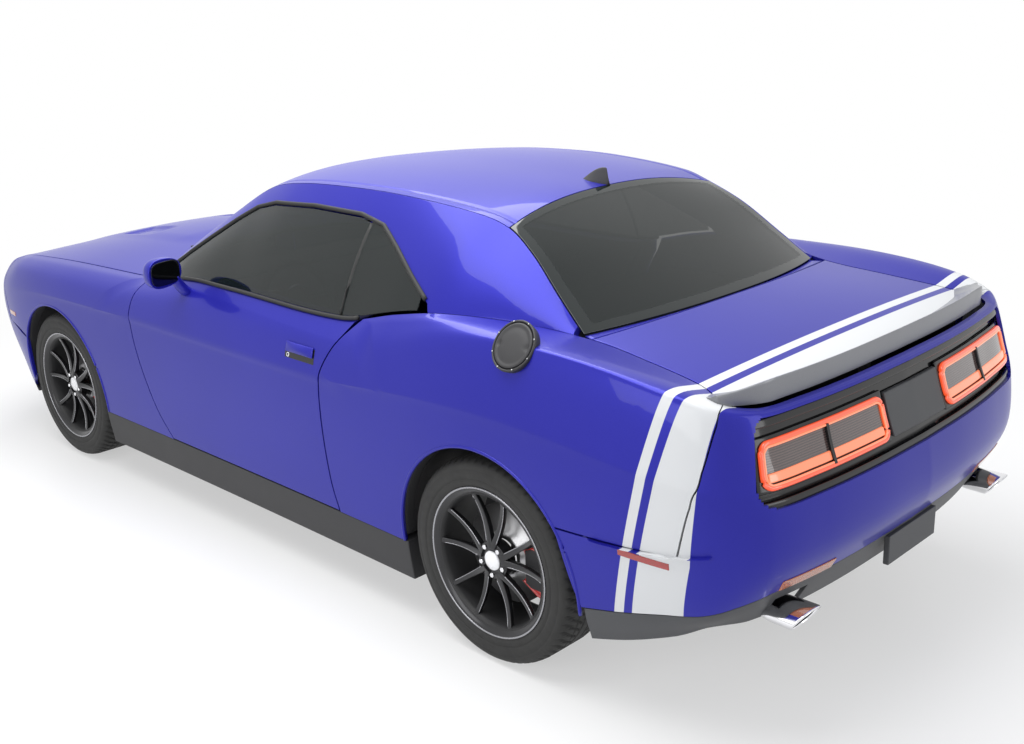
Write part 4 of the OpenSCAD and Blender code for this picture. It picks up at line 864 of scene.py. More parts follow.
def side_glass(name, x0, x1, s, gap, body):
    """A side window from x0 to x1, gap below the frame's edge."""
    x, j = np.linspace(x0, x1, 41)[:, None], np.linspace(0, 1, 17)[None, :]
    top = side_t(x[:, 0], window_z(x[:, 0]))[:, None] - gap
    P = side(x + 0 * j, 0.03 + (top - 0.03) * j, s)
    return panel(name, P, GLASS, body, GLASS_THICK, width=0.001)
for s in (1, -1):
    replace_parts(side_glass("door_window_" + SIDE[s], 560, -687, s, 0.016, "door_" + SIDE[s]),
        "door_glass_" + SIDE[s])
    o = side_glass("quarter_window_" + SIDE[s], -693, -1090, s, 0.005, "shell")
    if s > 0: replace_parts(o, "quarter_windows")
    x = np.linspace(628, -796, 90); y = skin(x, 7.0, s) + np.array([0, 1.5 * s, 6])
    tube("belt_seal_" + SIDE[s], y, 8, RUBBER, "door_" + SIDE[s], sides=10)
    bar = side(np.full(12, -690.0), np.linspace(0.02, float(side_t(-690, window_z(-690))) - 0.02,
        12), s) - np.array([0, 3.0 * s, 0])
    tube("centre_pillar_seal_" + SIDE[s], bar, 9, RUBBER, "shell", sides=10, squash=(1.0, 0.5))
print("frames and side glass")

# %% [markdown]
# ## Trim below the paint
# Sills, the front lip and the rear valance are moulded plastic, darker and duller than the
# paint, so they get their own grids and a grained finish.

# %% Lower trim, grille and spoiler
reach = math.sqrt(ARCH_R ** 2 - (WHEEL_Z - 240) ** 2)
sill = []
for s in (1, -1):
    u = np.linspace(AXLE_R + reach, AXLE_F - reach, 80)
    G = skin(u[:, None], np.linspace(0, 0.998, 9)[None, :], s)
    I = G.copy()
    I[..., 1] = s * BODY_INNER
    sill.append(shell("sill_" + SIDE[s], G, I, BLACK, "shell", width=0.004))
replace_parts(sill[0], "sills")
def wrap(us, levels, k=8):
    """Skin grid round the nose or tail over the places us, both sides."""
    u = np.interp(np.arange(k * (len(us) - 1) + 1) / k, range(len(us)), us)
    u = np.r_[u, u[::-1][1:]]
    s = np.where(np.arange(len(u)) < (len(u) + 1) // 2, 1.0, -1.0)
    return skin(u[:, None], np.asarray(levels)[None, :], s[:, None])
G = wrap(np.linspace(1990, 3120, 9), np.linspace(0, 0.194, 4))
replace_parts(panel("front_lip", G, BLACK, "shell", 26, flat=range(4), width=0.004), "front_splitter")
us = [AXLE_R - ARCH_R - 20, -2150, -2400, -2612, -2765, -2950, -3130, -3300]
G = wrap(us, np.linspace(0, 0.98, 15))
c = np.arange(G.shape[0] - 1)[:, None] / 8
b = np.arange(14)[None, :]
cut = lambda a0, a1: (c > a0) & (c < a1) & (b < 9)
keep = ~(cut(3.05, 3.95) | cut(10.0, 10.9))
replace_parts(panel("rear_valance_skin", G, GREY, "shell", keep=keep, flat=[14], width=0.004),
    "rear_valance")
px = float(skin(-3300, 0.98)[0])
print("sills, lip and valance built")

# %% [markdown]
# ### Carrier, grille and reflectors
# The grille is a dark sheet behind a row of bars. The bars follow the nose at one depth, so
# that the gaps stay even as they turn the corner.

# %% Carrier, grille and reflectors
def box(name, lo, hi, material, body, width=0.003):
    """A block between two corners in mm, with bevelled edges."""
    lo, hi = np.array(lo, float), np.array(hi, float)
    q = np.array([[0, 0, 0], [1, 0, 0], [1, 1, 0], [0, 1, 0], [0, 0, 1], [1, 0, 1], [1, 1, 1],
        [0, 1, 1]])
    F = [[3, 2, 1, 0], [4, 5, 6, 7], [0, 1, 5, 4], [1, 2, 6, 5], [2, 3, 7, 6], [3, 0, 4, 7]]
    return bevel(mesh_object(name, lo + q * (hi - lo), F, material, body), width, 3)
box("plate_carrier", [px - 6, -156, 398], [px + 14, 156, 498], GREY, "shell")
for s in (1, -1):
    strip("rear_reflector_" + SIDE[s], tail_at, s * np.linspace(470, 700, 16),
        np.linspace(508, 546, 4), -3.5, 6, AMBER, width=0.003)
Y, Z = np.meshgrid(np.linspace(-860, 860, 90), np.linspace(590, 812, 12), indexing="ij")
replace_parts(shell("grille_mesh", nose_at(Y, Z, 40.0), nose_at(Y, Z, 46.0), GLOSS, "shell", width=0),
    "grille")
for k, z in enumerate(np.linspace(628, 780, 7)):
    y = np.linspace(-800, 800, 70)
    tube(f"grille_bar_{k}", nose_at(y, z + 0 * y, np.full(70, 34.0)), 5, GLOSS, "shell", sides=10,
        squash=(1, 0.6))
for k, z in enumerate(np.linspace(372, 452, 4)):
    y = np.linspace(-520, 520, 50)
    tube(f"intake_bar_{k}", nose_at(y, z + 0 * y, np.full(50, 26.0)), 6, BLACK, "shell", sides=10,
        squash=(1, 0.6))
Y, Z = np.meshgrid(np.linspace(-620, 620, 60), np.linspace(285, 530, 12), indexing="ij")
shell("intake_back", nose_at(Y, Z, 44.0), nose_at(Y, Z, 49.0), BLACK, "shell", width=0)
print("grille built")

# %% [markdown]
# ### The spoiler
# The blade stands on the rear edge of the lid. Its section is a list of six points that
# rise to a lip, carried across the car, and it sinks and draws back towards its tips.

# %% Spoiler
def lid_pt(v, w):
    a = np.abs(w)
    e = lid_rear(a) * (1 - v) + lid_front(a) * v
    o = np.ones(a.shape)
    p = e + (lid_side(np.full(a.shape, v)) - (lid_rear(o) * (1 - v) + lid_front(o) * v)) * (a
        * a)[:, None]
    return np.stack([p[:, 0], np.sign(w) * p[:, 1], p[:, 2] + 8 * (1 - w * w) * 4 * v * (1 - v)],
        -1)
w = np.linspace(-1, 1, 97)
a = np.abs(w)
y = w * 806
top_edge = skin(np.interp(a * 772, YT, UT), 6.9)
f, tip = lid_pt(0.09, np.sign(w) * np.minimum(a * 1.06, 0.99)), step(a, 0.80, 1.0)
zr, xr = top_edge[:, 2] + 6, top_edge[:, 0] + 14 + 46 * tip
x0 = f[:, 0] + 8 + 48 * tip
prof = lambda t, h: np.stack([x0 + (xr - x0) * t, y, zr + h], -1)
rise = f[:, 2] - zr
rows = [prof(0, rise + 3), prof(0.35, rise * 0.6 + 24 - 10 * tip), prof(0.7, 50 - 24 * tip),
    prof(0.9, 66 - 30 * tip), prof(0.97, 68 - 32 * tip), prof(1.0, 62 - 32 * tip)]
G = np.stack(rows, 1)
low = [prof(0.01, rise + 1), prof(0.3, rise + 1), prof(0.6, np.maximum(rise, 2) + 1),
    prof(0.85, 3 + 0 * tip), prof(0.93, 1 + 0 * tip), prof(0.985, 1 + 0 * tip)]
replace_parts(shell("spoiler_blade", G, np.stack(low, 1), SPOILER, "trunk_lid", width=0.003),
    "spoiler")
print("trim, grille and spoiler")

# %% [markdown]
# ## Wheels
# A tyre is a profile turned round the axle, with the tread cut by a formula: grooves run
# round, and slanted slots cross the shoulders. The rim has five pairs of spokes with bright
# cut edges round a white cap.

# %% Tyres and rims
R_T, R_R = 364.0, 254.0        # radius of the tyre and of the rim
HALF_TRACK_F, HALF_TRACK_R = 805.0, 810.5
SPOKE_IN, SPOKE_OUT = 46, 236  # radii at which a spoke starts and ends
SPOKES = np.radians(90 + 72 * np.arange(5))
def tread_depth(a, y):
    """Groove depth in mm at angle a and place y across: rings and slanted cross slots."""
    ring = sum(np.exp(-((y - c) / 3.6) ** 4) for c in (-52, -18, 18, 52))
    slant = np.mod(a * 66 / (2 * np.pi) + np.abs(y) / 46.0, 1.0)
    slots = (np.exp(-((slant - 0.5) / 0.12) ** 4)) * (np.abs(y) > 26) * (np.abs(y) < 114)
    return np.maximum(7.0 * np.minimum(ring, 1), 6.0 * slots)
def turned(name, S, x, y, out, material, body, n=240, radial=None):
    """Section S of (radius, place across) turned once round the axle at x, y."""
    a, r, w = turn(n)[:, None], S[:, 0][None, :], S[:, 1][None, :]
    rr = r - (radial(a, w, r) if radial is not None else 0)
    V = np.stack([x + rr * np.cos(a), y + out * w + 0 * a, WHEEL_Z + rr * np.sin(a)], -1)
    F = quads(n, len(S), True, True)
    area = (S[:, 0] * np.roll(S[:, 1], -1) - np.roll(S[:, 0], -1) * S[:, 1]).sum()
    if area * out < 0: F = F[:, ::-1]
    return mesh_object(name, V, F, material, body)
print("tread ready")

# %% [markdown]
# ### Tyre and rim sections
# A tyre is its section turned once: bead, sidewall with a raised ring, shoulder and tread.
# The section is a closed line, so the mesh is closed as well.

# %% Finishes and sections of the wheel
TYRE = Finish("tyre_rubber", (0.020, 0.020, 0.020), 0.75)
TYRE.set("Base Color", TYRE.mix(TYRE.noise(9.0, 4.0), (0.007, 0.007, 0.007), (0.020, 0.020, 0.019)))
TYRE.set("Roughness", TYRE.noise(40.0) * 0.2 + 0.6).bump(TYRE.noise(500.0), 0.2, 0.0005)
BARREL = plastic("black_barrel_coat", (0.008, 0.008, 0.009), 0.6)
WHITE = plastic("white_cap_enamel", (0.75, 0.75, 0.76), 0.25, 0.03, 60.0)
arc = [[R_R, 102], [R_R + 4, 110], [R_R + 12, 114], [R_R + 20, 119], [R_R + 34, 121],
    [R_R + 36, 119.5], [R_R + 40, 119.5], [R_R + 42, 121.5], [300, 122.5], [322, 122], [324, 120.6],
    [328, 120.6], [330, 121.4], [341, 118], [350, 111], [357, 101], [361, 90], [363.4, 76]]
tread = [[R_T, y] for y in np.linspace(70, -70, 57)]
OUTER = np.array(arc + tread + [[r, -w] for r, w in arc[::-1]], float)
TSEC = np.r_[OUTER, [[R_R, -90], [R_R, 90]]]
RIMSEC = np.array([[253.7, -100], [253.7, 100], [249, 105], [241, 107], [236, 104], [232, 96],
    [229, 90], [230, 60], [226, 20], [229, -60], [234, -90], [238, -104], [246, -106]], float)
def lip(a, w, r): return tread_depth(a, w) * (r > 352)
print("tyre section:", len(TSEC), "points")

# %% [markdown]
# ### Spokes
# The spokes stand in pairs that open towards the rim. Each is a loft whose width and depth
# follow short formulas, and the bright cut line on its edge uses the same formulas.

# %% Spokes and bosses
def arm(t, a0, skew):
    """A spoke at part t of its way out: radius, angle, half width, half depth, place across."""
    r = SPOKE_IN + (SPOKE_OUT - SPOKE_IN) * t
    return (r, a0 + skew * (0.33 - np.arcsin(10.5 / r)), 13 - 6 * t + 3 * t ** 6, 13 - 5 * t,
            84 - 12 * np.sin(np.pi * t * 0.9) + 14 * t ** 3)
def wheel_point(x, y, out, r, ang, off, w):
    """Point off mm beside the ray at angle ang and radius r, w mm across the wheel at x, y."""
    return np.stack([x + r * np.cos(ang) - off * np.sin(ang), y + out * w,
                     WHEEL_Z + r * np.sin(ang) + off * np.cos(ang)], -1)
def spoke(x, y, out, a0, skew):
    """One arm as a closed loft from hub to rim: its width and depth change along the way."""
    t, c = np.linspace(0, 1, 26)[:, None], turn(16)[None, :]
    r, ang, half, deep, w = arm(t, a0, skew)
    ct, st = np.cos(c), np.sin(c); box_ = lambda v: np.sign(v) * np.abs(v) ** 0.45
    V = wheel_point(x, y, out, r, ang, half * box_(ct), w + deep * box_(st))
    F = quads(26, 16, False, True)[:, BACK].tolist() + caps(26, 16)
    return V.reshape(-1, 3), flip(F) if out > 0 else F
def cylinder_mesh(x, y, out, r, w0, w1, cx=0.0, cz=0.0, n=40, dome=0.0):
    """A turned boss between places w0 and w1 across, domed a little at its face."""
    S = np.array([[0.01, w0], [r, w0], [r, w1 - 1.5], [r - 1.5, w1], [r * 0.5, w1 + dome * 0.8],
        [0.01, w1 + dome]])
    a = turn(n)[:, None]
    V = np.stack([x + cx + S[:, 0] * np.cos(a), y + out * S[:, 1] + 0 * a,
        WHEEL_Z + cz + S[:, 0] * np.sin(a)], -1)
    F = quads(n, len(S), True)
    return V.reshape(-1, 3), (F if out < 0 else F[:, ::-1]).tolist()
def join(parts):
    """Several meshes in one list of points and faces."""
    V, F, k = [], [], 0
    for v, f in parts:
        V.append(v)
        F += [[q + k for q in g] for g in f]
        k += len(v)
    return np.concatenate(V), F
print("spokes ready")

# %% [markdown]
# ### The four wheels
# All four wheels are alike, so one loop builds them at their places, and each rides on its
# own body to turn with it.

# %% Four wheels
PLACES = [("front_left", AXLE_F, HALF_TRACK_F), ("front_right", AXLE_F, -HALF_TRACK_F),
    ("rear_left", AXLE_R, HALF_TRACK_R), ("rear_right", AXLE_R, -HALF_TRACK_R)]
for name, x, y in PLACES:
    out, body = (1 if y > 0 else -1), "wheel_" + name
    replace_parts(turned("tyre_tread_" + name, TSEC, x, y, out, TYRE, body, 792, lip), "tyre_" + name)
    rim = turned("rim_barrel_" + name, RIMSEC, x, y, out, BARREL, body, 120)
    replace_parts(rim, "rim_" + name)
    edge_ring = by_length([[266, 114], [265, 118], [262, 118.6], [259, 117.4], [258, 114],
        [260, 112]], 14)[:-1]
    turned("rim_edge_" + name, edge_ring, x, y, out, CUT, body, 120)
    turned("rim_lip_" + name, by_length([[260, 112], [259, 117.2], [252, 115], [243, 109],
        [238, 104], [241, 100], [247, 99], [253, 104]], 18)[:-1], x, y, out, RIM, body, 120)
    arms = [spoke(x, y, out, a0, sk) for a0 in SPOKES for sk in (1, -1)]
    V, F = join(arms + [cylinder_mesh(x, y, out, 66, 44, 88)])
    bevel(mesh_object("rim_spokes_" + name, V, F, RIM, body), 0.0015, 1, 50)
    for k, a0 in enumerate(SPOKES):
        for sk in (1, -1):
            r, ang, half, deep, w = arm(np.linspace(0.12, 0.96, 20), a0, sk)
            P = wheel_point(x, y, out, r, ang, sk * (half - 1.8), w + deep - 1.5)
            tube(f"spoke_cut_{name}_{k}_{'a' if sk > 0 else 'b'}", P, 1.8, CUT, body, sides=8)
    V, F = join([cylinder_mesh(x, y, out, 34, 80, 93, dome=4)])
    mesh_object("wheel_cap_" + name, V, F, WHITE, body)
    nuts = [cylinder_mesh(x, y, out, 9.5, 80, 97, 52 * math.cos(q), 52 * math.sin(q), 6)
        for q in np.radians(54 + 72 * np.arange(5))]
    V, F = join(nuts)
    bevel(mesh_object("wheel_nuts_" + name, V, F, CHROME, body, smooth=False), 0.001)
    DISC = np.array([[90, -14], [175, -14], [175, -4], [120, -4], [120, 4], [175, 4], [175, 14],
        [90, 14], [84, 34], [60, 34], [60, 26], [78, 26], [78, -14]], float)
    turned("brake_disc_" + name, DISC, x, y, out, STEEL, body, 96)
print("wheels built")

# %% [markdown]
# ### Calipers
# The red caliper grips the disc and does not turn with the wheel. It rides on the knuckle
# in front and on the shell behind.

# %% Calipers
for k, ((name, x, y), body) in enumerate(zip(PLACES,
    ("knuckle_left", "knuckle_right", "shell", "shell"))):
    s = 1 if y > 0 else -1
    a = np.radians(np.linspace(152, 208, 24))[:, None]; ri, ro = 118, 208
    sec = np.array([[ri, 22], [ro - 26, 22], [ro - 12, 6], [ro, 24], [ro, 44], [ro - 20, 50],
        [ri, 48]])
    V = np.stack([x + sec[:, 0] * np.cos(a), y + s * sec[:, 1] + 0 * a,
        WHEEL_Z + sec[:, 0] * np.sin(a)], -1)
    F, ends = quads(24, 7, False, True).tolist(), caps(24, 7)
    F = F + ends if s > 0 else flip(F) + flip(ends)
    bevel(mesh_object(f"caliper_cover_{k}", V.reshape(-1, 3), F, CALIPER, body), 0.004, 3)
print("wheels:", len(PLACES))

# %% [markdown]
# ## Small pieces of the outside
# Handles, markers, fuel cap, mirrors, roof fin and the lips of the wheel arches: each is
# small, but together they give the size of the car away.

# %% Handles, markers and fuel cap
def on_side(x, z, s, out=0.0):
    """Points of the body side at x and height z, out mm proud of it."""
    x, z = np.broadcast_arrays(np.asarray(x, float), np.asarray(z, float))
    l = level(x, z)
    p = skin(x, l, s)
    a, b = skin(x + 5, l, s) - skin(x - 5, l, s), skin(x, l + 0.05, s) - skin(x, l - 0.05, s)
    n = np.cross(a, b) * -s; n /= np.linalg.norm(n, axis=-1, keepdims=True)
    n *= np.sign(n[..., 1:2]) * s
    return p + n * np.asarray(out, float)[..., None]
def side_patch(name, x, z, s, out, deep, material, body, width=0.002, bulge=0.0):
    X, Z = np.meshgrid(x, z, indexing="ij")
    q = np.linspace(-1, 1, len(x))[:, None] ** 2
    r = np.linspace(-1, 1, len(z))[None, :] ** 2
    return shell(name, on_side(X, Z, s, out + bulge * (1 - q) * (1 - r)),
        on_side(X, Z, s, deep + 0 * X), material, body, width=width)
for s in (1, -1):
    body = "door_" + SIDE[s]
    side_patch("door_handle_cup_" + SIDE[s], np.linspace(-628, -450, 16), np.linspace(890, 944, 8),
        s, 0.6, -3, GLOSS, body, 0.0006)
    side_patch("door_handle_" + SIDE[s], np.linspace(-622, -458, 24), np.linspace(912, 949, 8), s,
        7, 1.5, PAINT, body, 0.005, 9)
    t = turn(20)
    tube("door_lock_" + SIDE[s], on_side(-470 + 7 * np.cos(t), 901 + 7 * np.sin(t), s, 1.2 + 0 * t),
        2, CHROME, body, closed=True, sides=8)
    side_patch("rear_side_marker_" + SIDE[s], np.linspace(-2236, -2058, 20),
        np.linspace(594, 615, 5), s, 1.8, -4, RED, "shell", 0.0015)
    side_patch("front_side_marker_" + SIDE[s], np.linspace(1950, 2040, 14),
        np.linspace(640, 662, 5), s, 1.8, -4, AMBER, "shell", 0.0015)
print("handles and markers built")

# %% [markdown]
# ### The fuel cap
# The cap is a turned dish with a grip across it, in a ring held by eight screws. It is
# turned about the line that stands out of the skin at its place, so it lies flush in the
# curved quarter.

# %% Fuel cap
P0, FW, UP, OUT = filler_frame()
def filler_point(r, a, h):
    return P0 + (r * np.cos(a))[..., None] * FW + (r * np.sin(a))[..., None] * UP + np.asarray(h,
        float)[..., None] * OUT
def dish(name, S, material, body, n=72, notch=None):
    """A turned shape about the cap's own axis; notch dips it at 3 and 9 o'clock."""
    a, S = turn(n)[:, None], np.asarray(S, float)
    h = S[:, 1][None, :] - (notch(a, S[:, 0][None, :]) if notch else 0)
    r = S[:, 0][None, :] + 0 * a
    V = filler_point(r, a + 0 * r, h + 0 * r)
    o = mesh_object(name, V, quads(n, len(S), True), material, body)
    w = o.modifiers.new("close", "WELD"); w.merge_threshold = 0.0001
    return o
grip = lambda a, r: 5.0 * np.exp(-(np.sin(a) / 0.16) ** 4) * ((r > 52) & (r < 66))
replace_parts(dish("fuel_cap", [[0.01, -9], [74.5, -9], [74.5, 2], [73, 5], [70, 6.2], [66, 6.2],
    [62, 4.5], [56, 4.8], [50, 6.4], [30, 8], [0.01, 8.6]], BLACK, "filler_cap", notch=grip),
    "filler_cap")
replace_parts(dish("fuel_cap_ring", [[77, -10], [77, 1], [78.2, 4], [81, 5.2], [83.6, 4], [85, 1],
    [85, -3], [80, -28], [0.01, -28], [0.01, -12], [76.5, -11]], BLACK, "shell"), "filler_housing")
for k in range(8):
    a = np.array([np.pi / 8 + k * np.pi / 4])
    c = filler_point(np.array([81.0]), a, np.array([4.6]))[0]
    tube(f"fuel_cap_screw_{k}", np.array([c, c + OUT * 1.5]), 2.6, STEEL, "shell", sides=10)
print("fuel cap built")

# %% [markdown]
# ### Mirrors
# A mirror housing is nearly an egg that is cut flat behind. Powers of sine and cosine
# square it off, which takes far fewer points than sculpting it.

# %% Mirrors
def blob(name, c, r, material, body, n=40, power=(1, 1), cut=None):
    """Rounded body: radii r in three directions, squared off by the powers."""
    u, v = turn(n)[None, :], np.linspace(-np.pi / 2, np.pi / 2, n // 2 + 1)[1:-1, None]
    f = lambda q, p: np.sign(q) * np.abs(q) ** p
    V = np.stack([r[0] * f(np.cos(v), power[0]) * f(np.cos(u), power[1]),
        r[1] * f(np.cos(v), power[0]) * f(np.sin(u), power[1]),
        r[2] * f(np.sin(v), power[0]) + 0 * u], -1)
    V = (V if cut is None else cut(V)) + np.array(c, float)
    F = quads(len(V), n, False, True)[:, BACK].tolist() + caps(len(V), n)
    return mesh_object(name, V.reshape(-1, 3), F, material, body)
for s in (1, -1):
    body = "door_" + SIDE[s]
    def shape(V, s=s):
        """Flat behind, fuller at the outer end, swept back as it goes out."""
        V = V.copy()
        out = V[..., 1] * s / 84
        V[..., 0] = np.maximum(V[..., 0], -18) + 0 * out
        V[..., 2] *= 1 + 0.10 * out
        V[..., 0] -= 16 * out
        return V
    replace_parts(blob("mirror_housing_" + SIDE[s], [262, s * 1008, 1122], (62, 84, 60), PAINT, body,
        48, (0.8, 0.7), shape), "mirror_" + SIDE[s])
    def flat(V, s=s):
        V = V.copy()
        out = V[..., 1] * s / 74
        V[..., 0] -= 16 * out
        return V
    blob("mirror_glass_" + SIDE[s], [242, s * 1008, 1122], (2.5, 73, 49), MIRROR, body, 48,
        (0.55, 0.6), flat)
    foot = on_side(300.0, 1012.0, s) - np.array([0, s * 4.0, 0])
    P = foot + np.array([[0, 0, 0], [-4, s * 16, 14], [-10, s * 34, 34], [-18, s * 52, 58],
        [-26, s * 70, 84]])
    tube("mirror_stalk_" + SIDE[s], sample(P, np.linspace(0, 4, 17)), np.linspace(27, 19, 17),
        PAINT, body, sides=18, squash=(1.3, 0.8))
print("mirrors built")

# %% [markdown]
# ### Fin and wheel arches
# The fin holds the aerial. The arches get a rolled lip and a strip that returns inwards,
# since a thin edge there would let light through between skin and liner.

# %% Fin and wheel arches
fin_x, c = np.linspace(0, 1, 24)[:, None], turn(20)[None, :]
h = 66 * np.sin(np.pi * np.clip(fin_x * 0.55 + 0.02, 0, 1)) ** 1.2 * (1 - step(fin_x, 0.90, 1.0)
    * 0.9)
V = np.stack([-1080 - 150 * fin_x + 0 * c - 10 * (np.sin(c) > 0),
    (22 * np.sin(np.pi * np.clip(fin_x * 0.9 + 0.08, 0, 1)) ** 0.6) * np.cos(c)
    * (1 - 0.75 * np.clip(np.sin(c), 0, 1)), 1466 + np.maximum(h, 3)
    * np.maximum(np.sin(c), -0.15)], -1)
F = quads(24, 20, False, True)[:, BACK].tolist() + caps(24, 20)
mesh_object("roof_fin", V.reshape(-1, 3), F, BLACK, "shell")
for s in (1, -1):
    for nm, ax in (("front_", AXLE_F), ("rear_", AXLE_R)):
        E = arch(ax, 180 + LOW, -LOW, 90)
        P = skin(E[:, 0], E[:, 1], s) + np.array([0, -2.5 * s, 0])
        tube("arch_lip_" + nm + SIDE[s], P, 6.5, PAINT, "shell", sides=12)
        a = np.radians(np.linspace(180 + LOW - 2, 2 - LOW, 90))
        q = ax + np.stack([np.cos(a), np.cos(a)], 1) * [ARCH_R + 3, ARCH_R + 7]
        rise = WHEEL_Z + np.stack([np.sin(a), np.sin(a)], 1) * [ARCH_R + 3, ARCH_R + 7]
        y0 = P[:, 1] - s * 6
        ring = lambda c: np.stack([np.stack([q[:, c], y0 - s * d, rise[:, c]], -1)
            for d in (0, 25, 50, 75)], 1)
        shell("arch_return_" + nm + SIDE[s], ring(0), ring(1), UNDER, "shell", width=0)
print("small outside pieces")

# %% [markdown]
# ## Cabin
# Dark glass hides most of the cabin, but the seats, the wheel and the top of the dash show
# through it and fill the view when a door is open. The seats are padded: each cushion is a
# crowned closed form with sewn channels, pulled in at its corners.

# %% Seats, dash and steering wheel
LEATHER = Finish("black_seat_leather", (0.02, 0.02, 0.022), 0.45)
pore = LEATHER.node("ShaderNodeTexVoronoi", {"feature": "DISTANCE_TO_EDGE"}, {"Scale": 420.0})
LEATHER.set("Base Color", LEATHER.mix(LEATHER.noise(6.0, 4.0), (0.012, 0.012, 0.013),
    (0.034, 0.034, 0.037)))
LEATHER.set("Roughness", LEATHER.noise(12.0) * 0.2 + 0.36).bump(pore, 0.35, 0.0008)
THREAD = plastic("grey_seam_thread", (0.07, 0.07, 0.075), 0.7, 0.2, 900.0)
def cushion(name, origin, ax, ay, az, size, channels, side_roll=0.0):
    """Crowned pad of size (length, width, thickness): the top bulges between sewn channels."""
    n, m = 64, 64
    u, v = np.meshgrid(np.linspace(-1, 1, n), np.linspace(-1, 1, m), indexing="ij")
    L, Wd, T = size
    edge_ = (1 - u ** 6) * (1 - v ** 6)
    groove = sum(np.exp(-((u - c) / 0.022) ** 2)
        for c in channels) * (np.abs(v) < 0.62) + np.exp(-((np.abs(v) - 0.62) / 0.022) ** 2)
    roll = side_roll * step(np.abs(v), 0.6, 0.85)
    top = T * (0.55 + 0.45 * np.clip(edge_, 0, 1) ** 0.5) - 7 * groove + roll * (1
        - np.abs(v) ** 12) + 5 * (1 - u * u) * (1 - v * v)
    pull = 1 - 0.035 * (u * u) * (v * v) - 0.02 * (1 - np.clip(edge_, 0, 1))
    o, ax, ay, az = (np.array(q, float) for q in (origin, ax, ay, az))
    G = o + (u * pull * L / 2)[..., None] * ax + (v * pull * Wd / 2)[..., None] * ay + top[...,
        None] * az
    I = o + (u * 0.97 * L / 2)[..., None] * ax + (v * 0.97 * Wd / 2)[...,
        None] * ay + (0.04 * T * edge_)[..., None] * az
    ob = shell(name, G, I, LEATHER, "shell", width=0.012)
    ob.modifiers["edge"].segments = 4
    lines = []
    for sv in (-1, 1):
        k = np.argmin(np.abs(v[0] - sv * 0.62)); lines.append(G[4:-4, k] + az)
    for q, P in enumerate(lines): tube(f"{name}_seam_{q}", P, 1.5, THREAD, "shell", sides=8)
    return ob
print("cushion ready")

# %% [markdown]
# ### Front seats
# Cushion, back and headrest are separate pads on a plastic base and shell, and both seats
# come from one loop.

# %% Front seats
lean, first = math.radians(22), None
for s in (1, -1):
    y = s * 385
    c = cushion("front_seat_cushion_" + SIDE[s], [-80, y, 318], [1, 0, 0], [0, 1, 0], [0, 0, 1],
        (490, 496, 108), (-0.3, 0.1, 0.5), side_roll=16)
    if first is None:
        first = c
        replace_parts(c, "front_seats")
    up = [-math.sin(lean), 0, math.cos(lean)]; out = [math.cos(lean), 0, math.sin(lean)]
    mid = np.array([-330, y, 350]) + np.array(up) * 300 - np.array(out) * 112
    cushion("front_seat_back_" + SIDE[s], mid, up, [0, -1, 0], out, (560, 476, 96), (-0.4, 0, 0.4),
        side_roll=14)
    top = np.array([-330, y, 350]) + np.array(up) * 585 - np.array(out) * 60
    h = blob("front_headrest_" + SIDE[s], top + np.array(up) * 10, (46, 132, 72), LEATHER, "shell",
        36, (0.6, 0.6))
    box("front_seat_base_" + SIDE[s], [-240, y - 200, 200.5], [100, y + 200, 322], BLACK, "shell",
        0.01)
    P = mid + np.array(out) * -6
    k = np.linspace(-1, 1, 24)[:, None]; j = np.linspace(-1, 1, 16)[None, :]
    B_ = P + (k * 285 * (1 - 0.04 * j * j))[..., None] * np.array(up) + (j * 236
        * (1 - 0.05 * k * k))[..., None] * np.array([0, 1, 0]) + (-6 * (1 - k * k)
        * (1 - j * j))[..., None] * np.array(out)
    shell("front_seat_shell_" + SIDE[s], B_, B_ + np.array(out) * 12, BLACK, "shell", width=0.005)
print("front seats built")

# %% [markdown]
# ### Rear seat
# The bench is two pads side by side with two backs, less bolstered than the seats in front.

# %% Rear seat
rl = math.radians(20)
up = [-math.sin(rl), 0, math.cos(rl)]
out = [math.cos(rl), 0, math.sin(rl)]
for s in (1, -1):
    c = cushion("rear_seat_cushion_" + SIDE[s], [-826, s * 281, 392], [1, 0, 0], [0, 1, 0],
        [0, 0, 1], (408, 556, 106), (-0.2, 0.3), 8)
    if s > 0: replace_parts(c, "rear_seat")
    mid = np.array([-873.5, s * 281, 509]) + np.array(up) * 212 - np.array(out) * 86
    cushion("rear_seat_back_" + SIDE[s], mid, up, [0, -1, 0], out, (420, 556, 74), (-0.35, 0.3),
        8)
print("rear seat built")

# %% [markdown]
# ### Dash
# The dash is one section carried across the car, with a brow that swells over the dials.
# Dials and screen are added as pieces of their own, since they have other finishes.

# %% Dash and dials
sec = np.array([[620, 642], [470, 646], [372, 664], [352, 700], [342, 780], [346, 850], [368, 900],
    [410, 922], [480, 930], [620, 928]], float)
t = np.linspace(0, len(sec) - 1, 46); sec = sample(sec, t)
y = np.linspace(-698, 698, 90)[:, None]
brow = 26 * np.exp(-((y - 385) / 165) ** 4) * (sec[None, :, 1] > 850) * (sec[None, :, 0] < 520)
G = np.stack([sec[None, :, 0] - brow * 0.5 + 10 * (y / 700) ** 2, y + 0 * sec[None, :, 0],
    sec[None, :, 1] + 0 * y], -1)
I = G + np.stack([np.where(sec[None, :, 0] < 610, 8.0, 0) + 0 * y, 0 * G[..., 0],
    np.where(sec[None, :, 1] > 785, -8.0, 8.0) + 0 * y], -1)
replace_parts(shell("dash_panel", G, I, BLACK, "shell", width=0.003), "dashboard")
SCREEN_DARK = Finish("dash_screen_glass", (0.004, 0.004, 0.006), 0.06, Coat_Weight=1.0)
SCREEN_DARK.set("Roughness", SCREEN_DARK.noise(20.0) * 0.04 + 0.04)
box("dash_centre_screen", [334, -105, 760], [350, 105, 872], SCREEN_DARK, "shell", 0.004)
DIAL = plastic("dial_face", (0.01, 0.01, 0.012), 0.4, 0.05, 200.0)
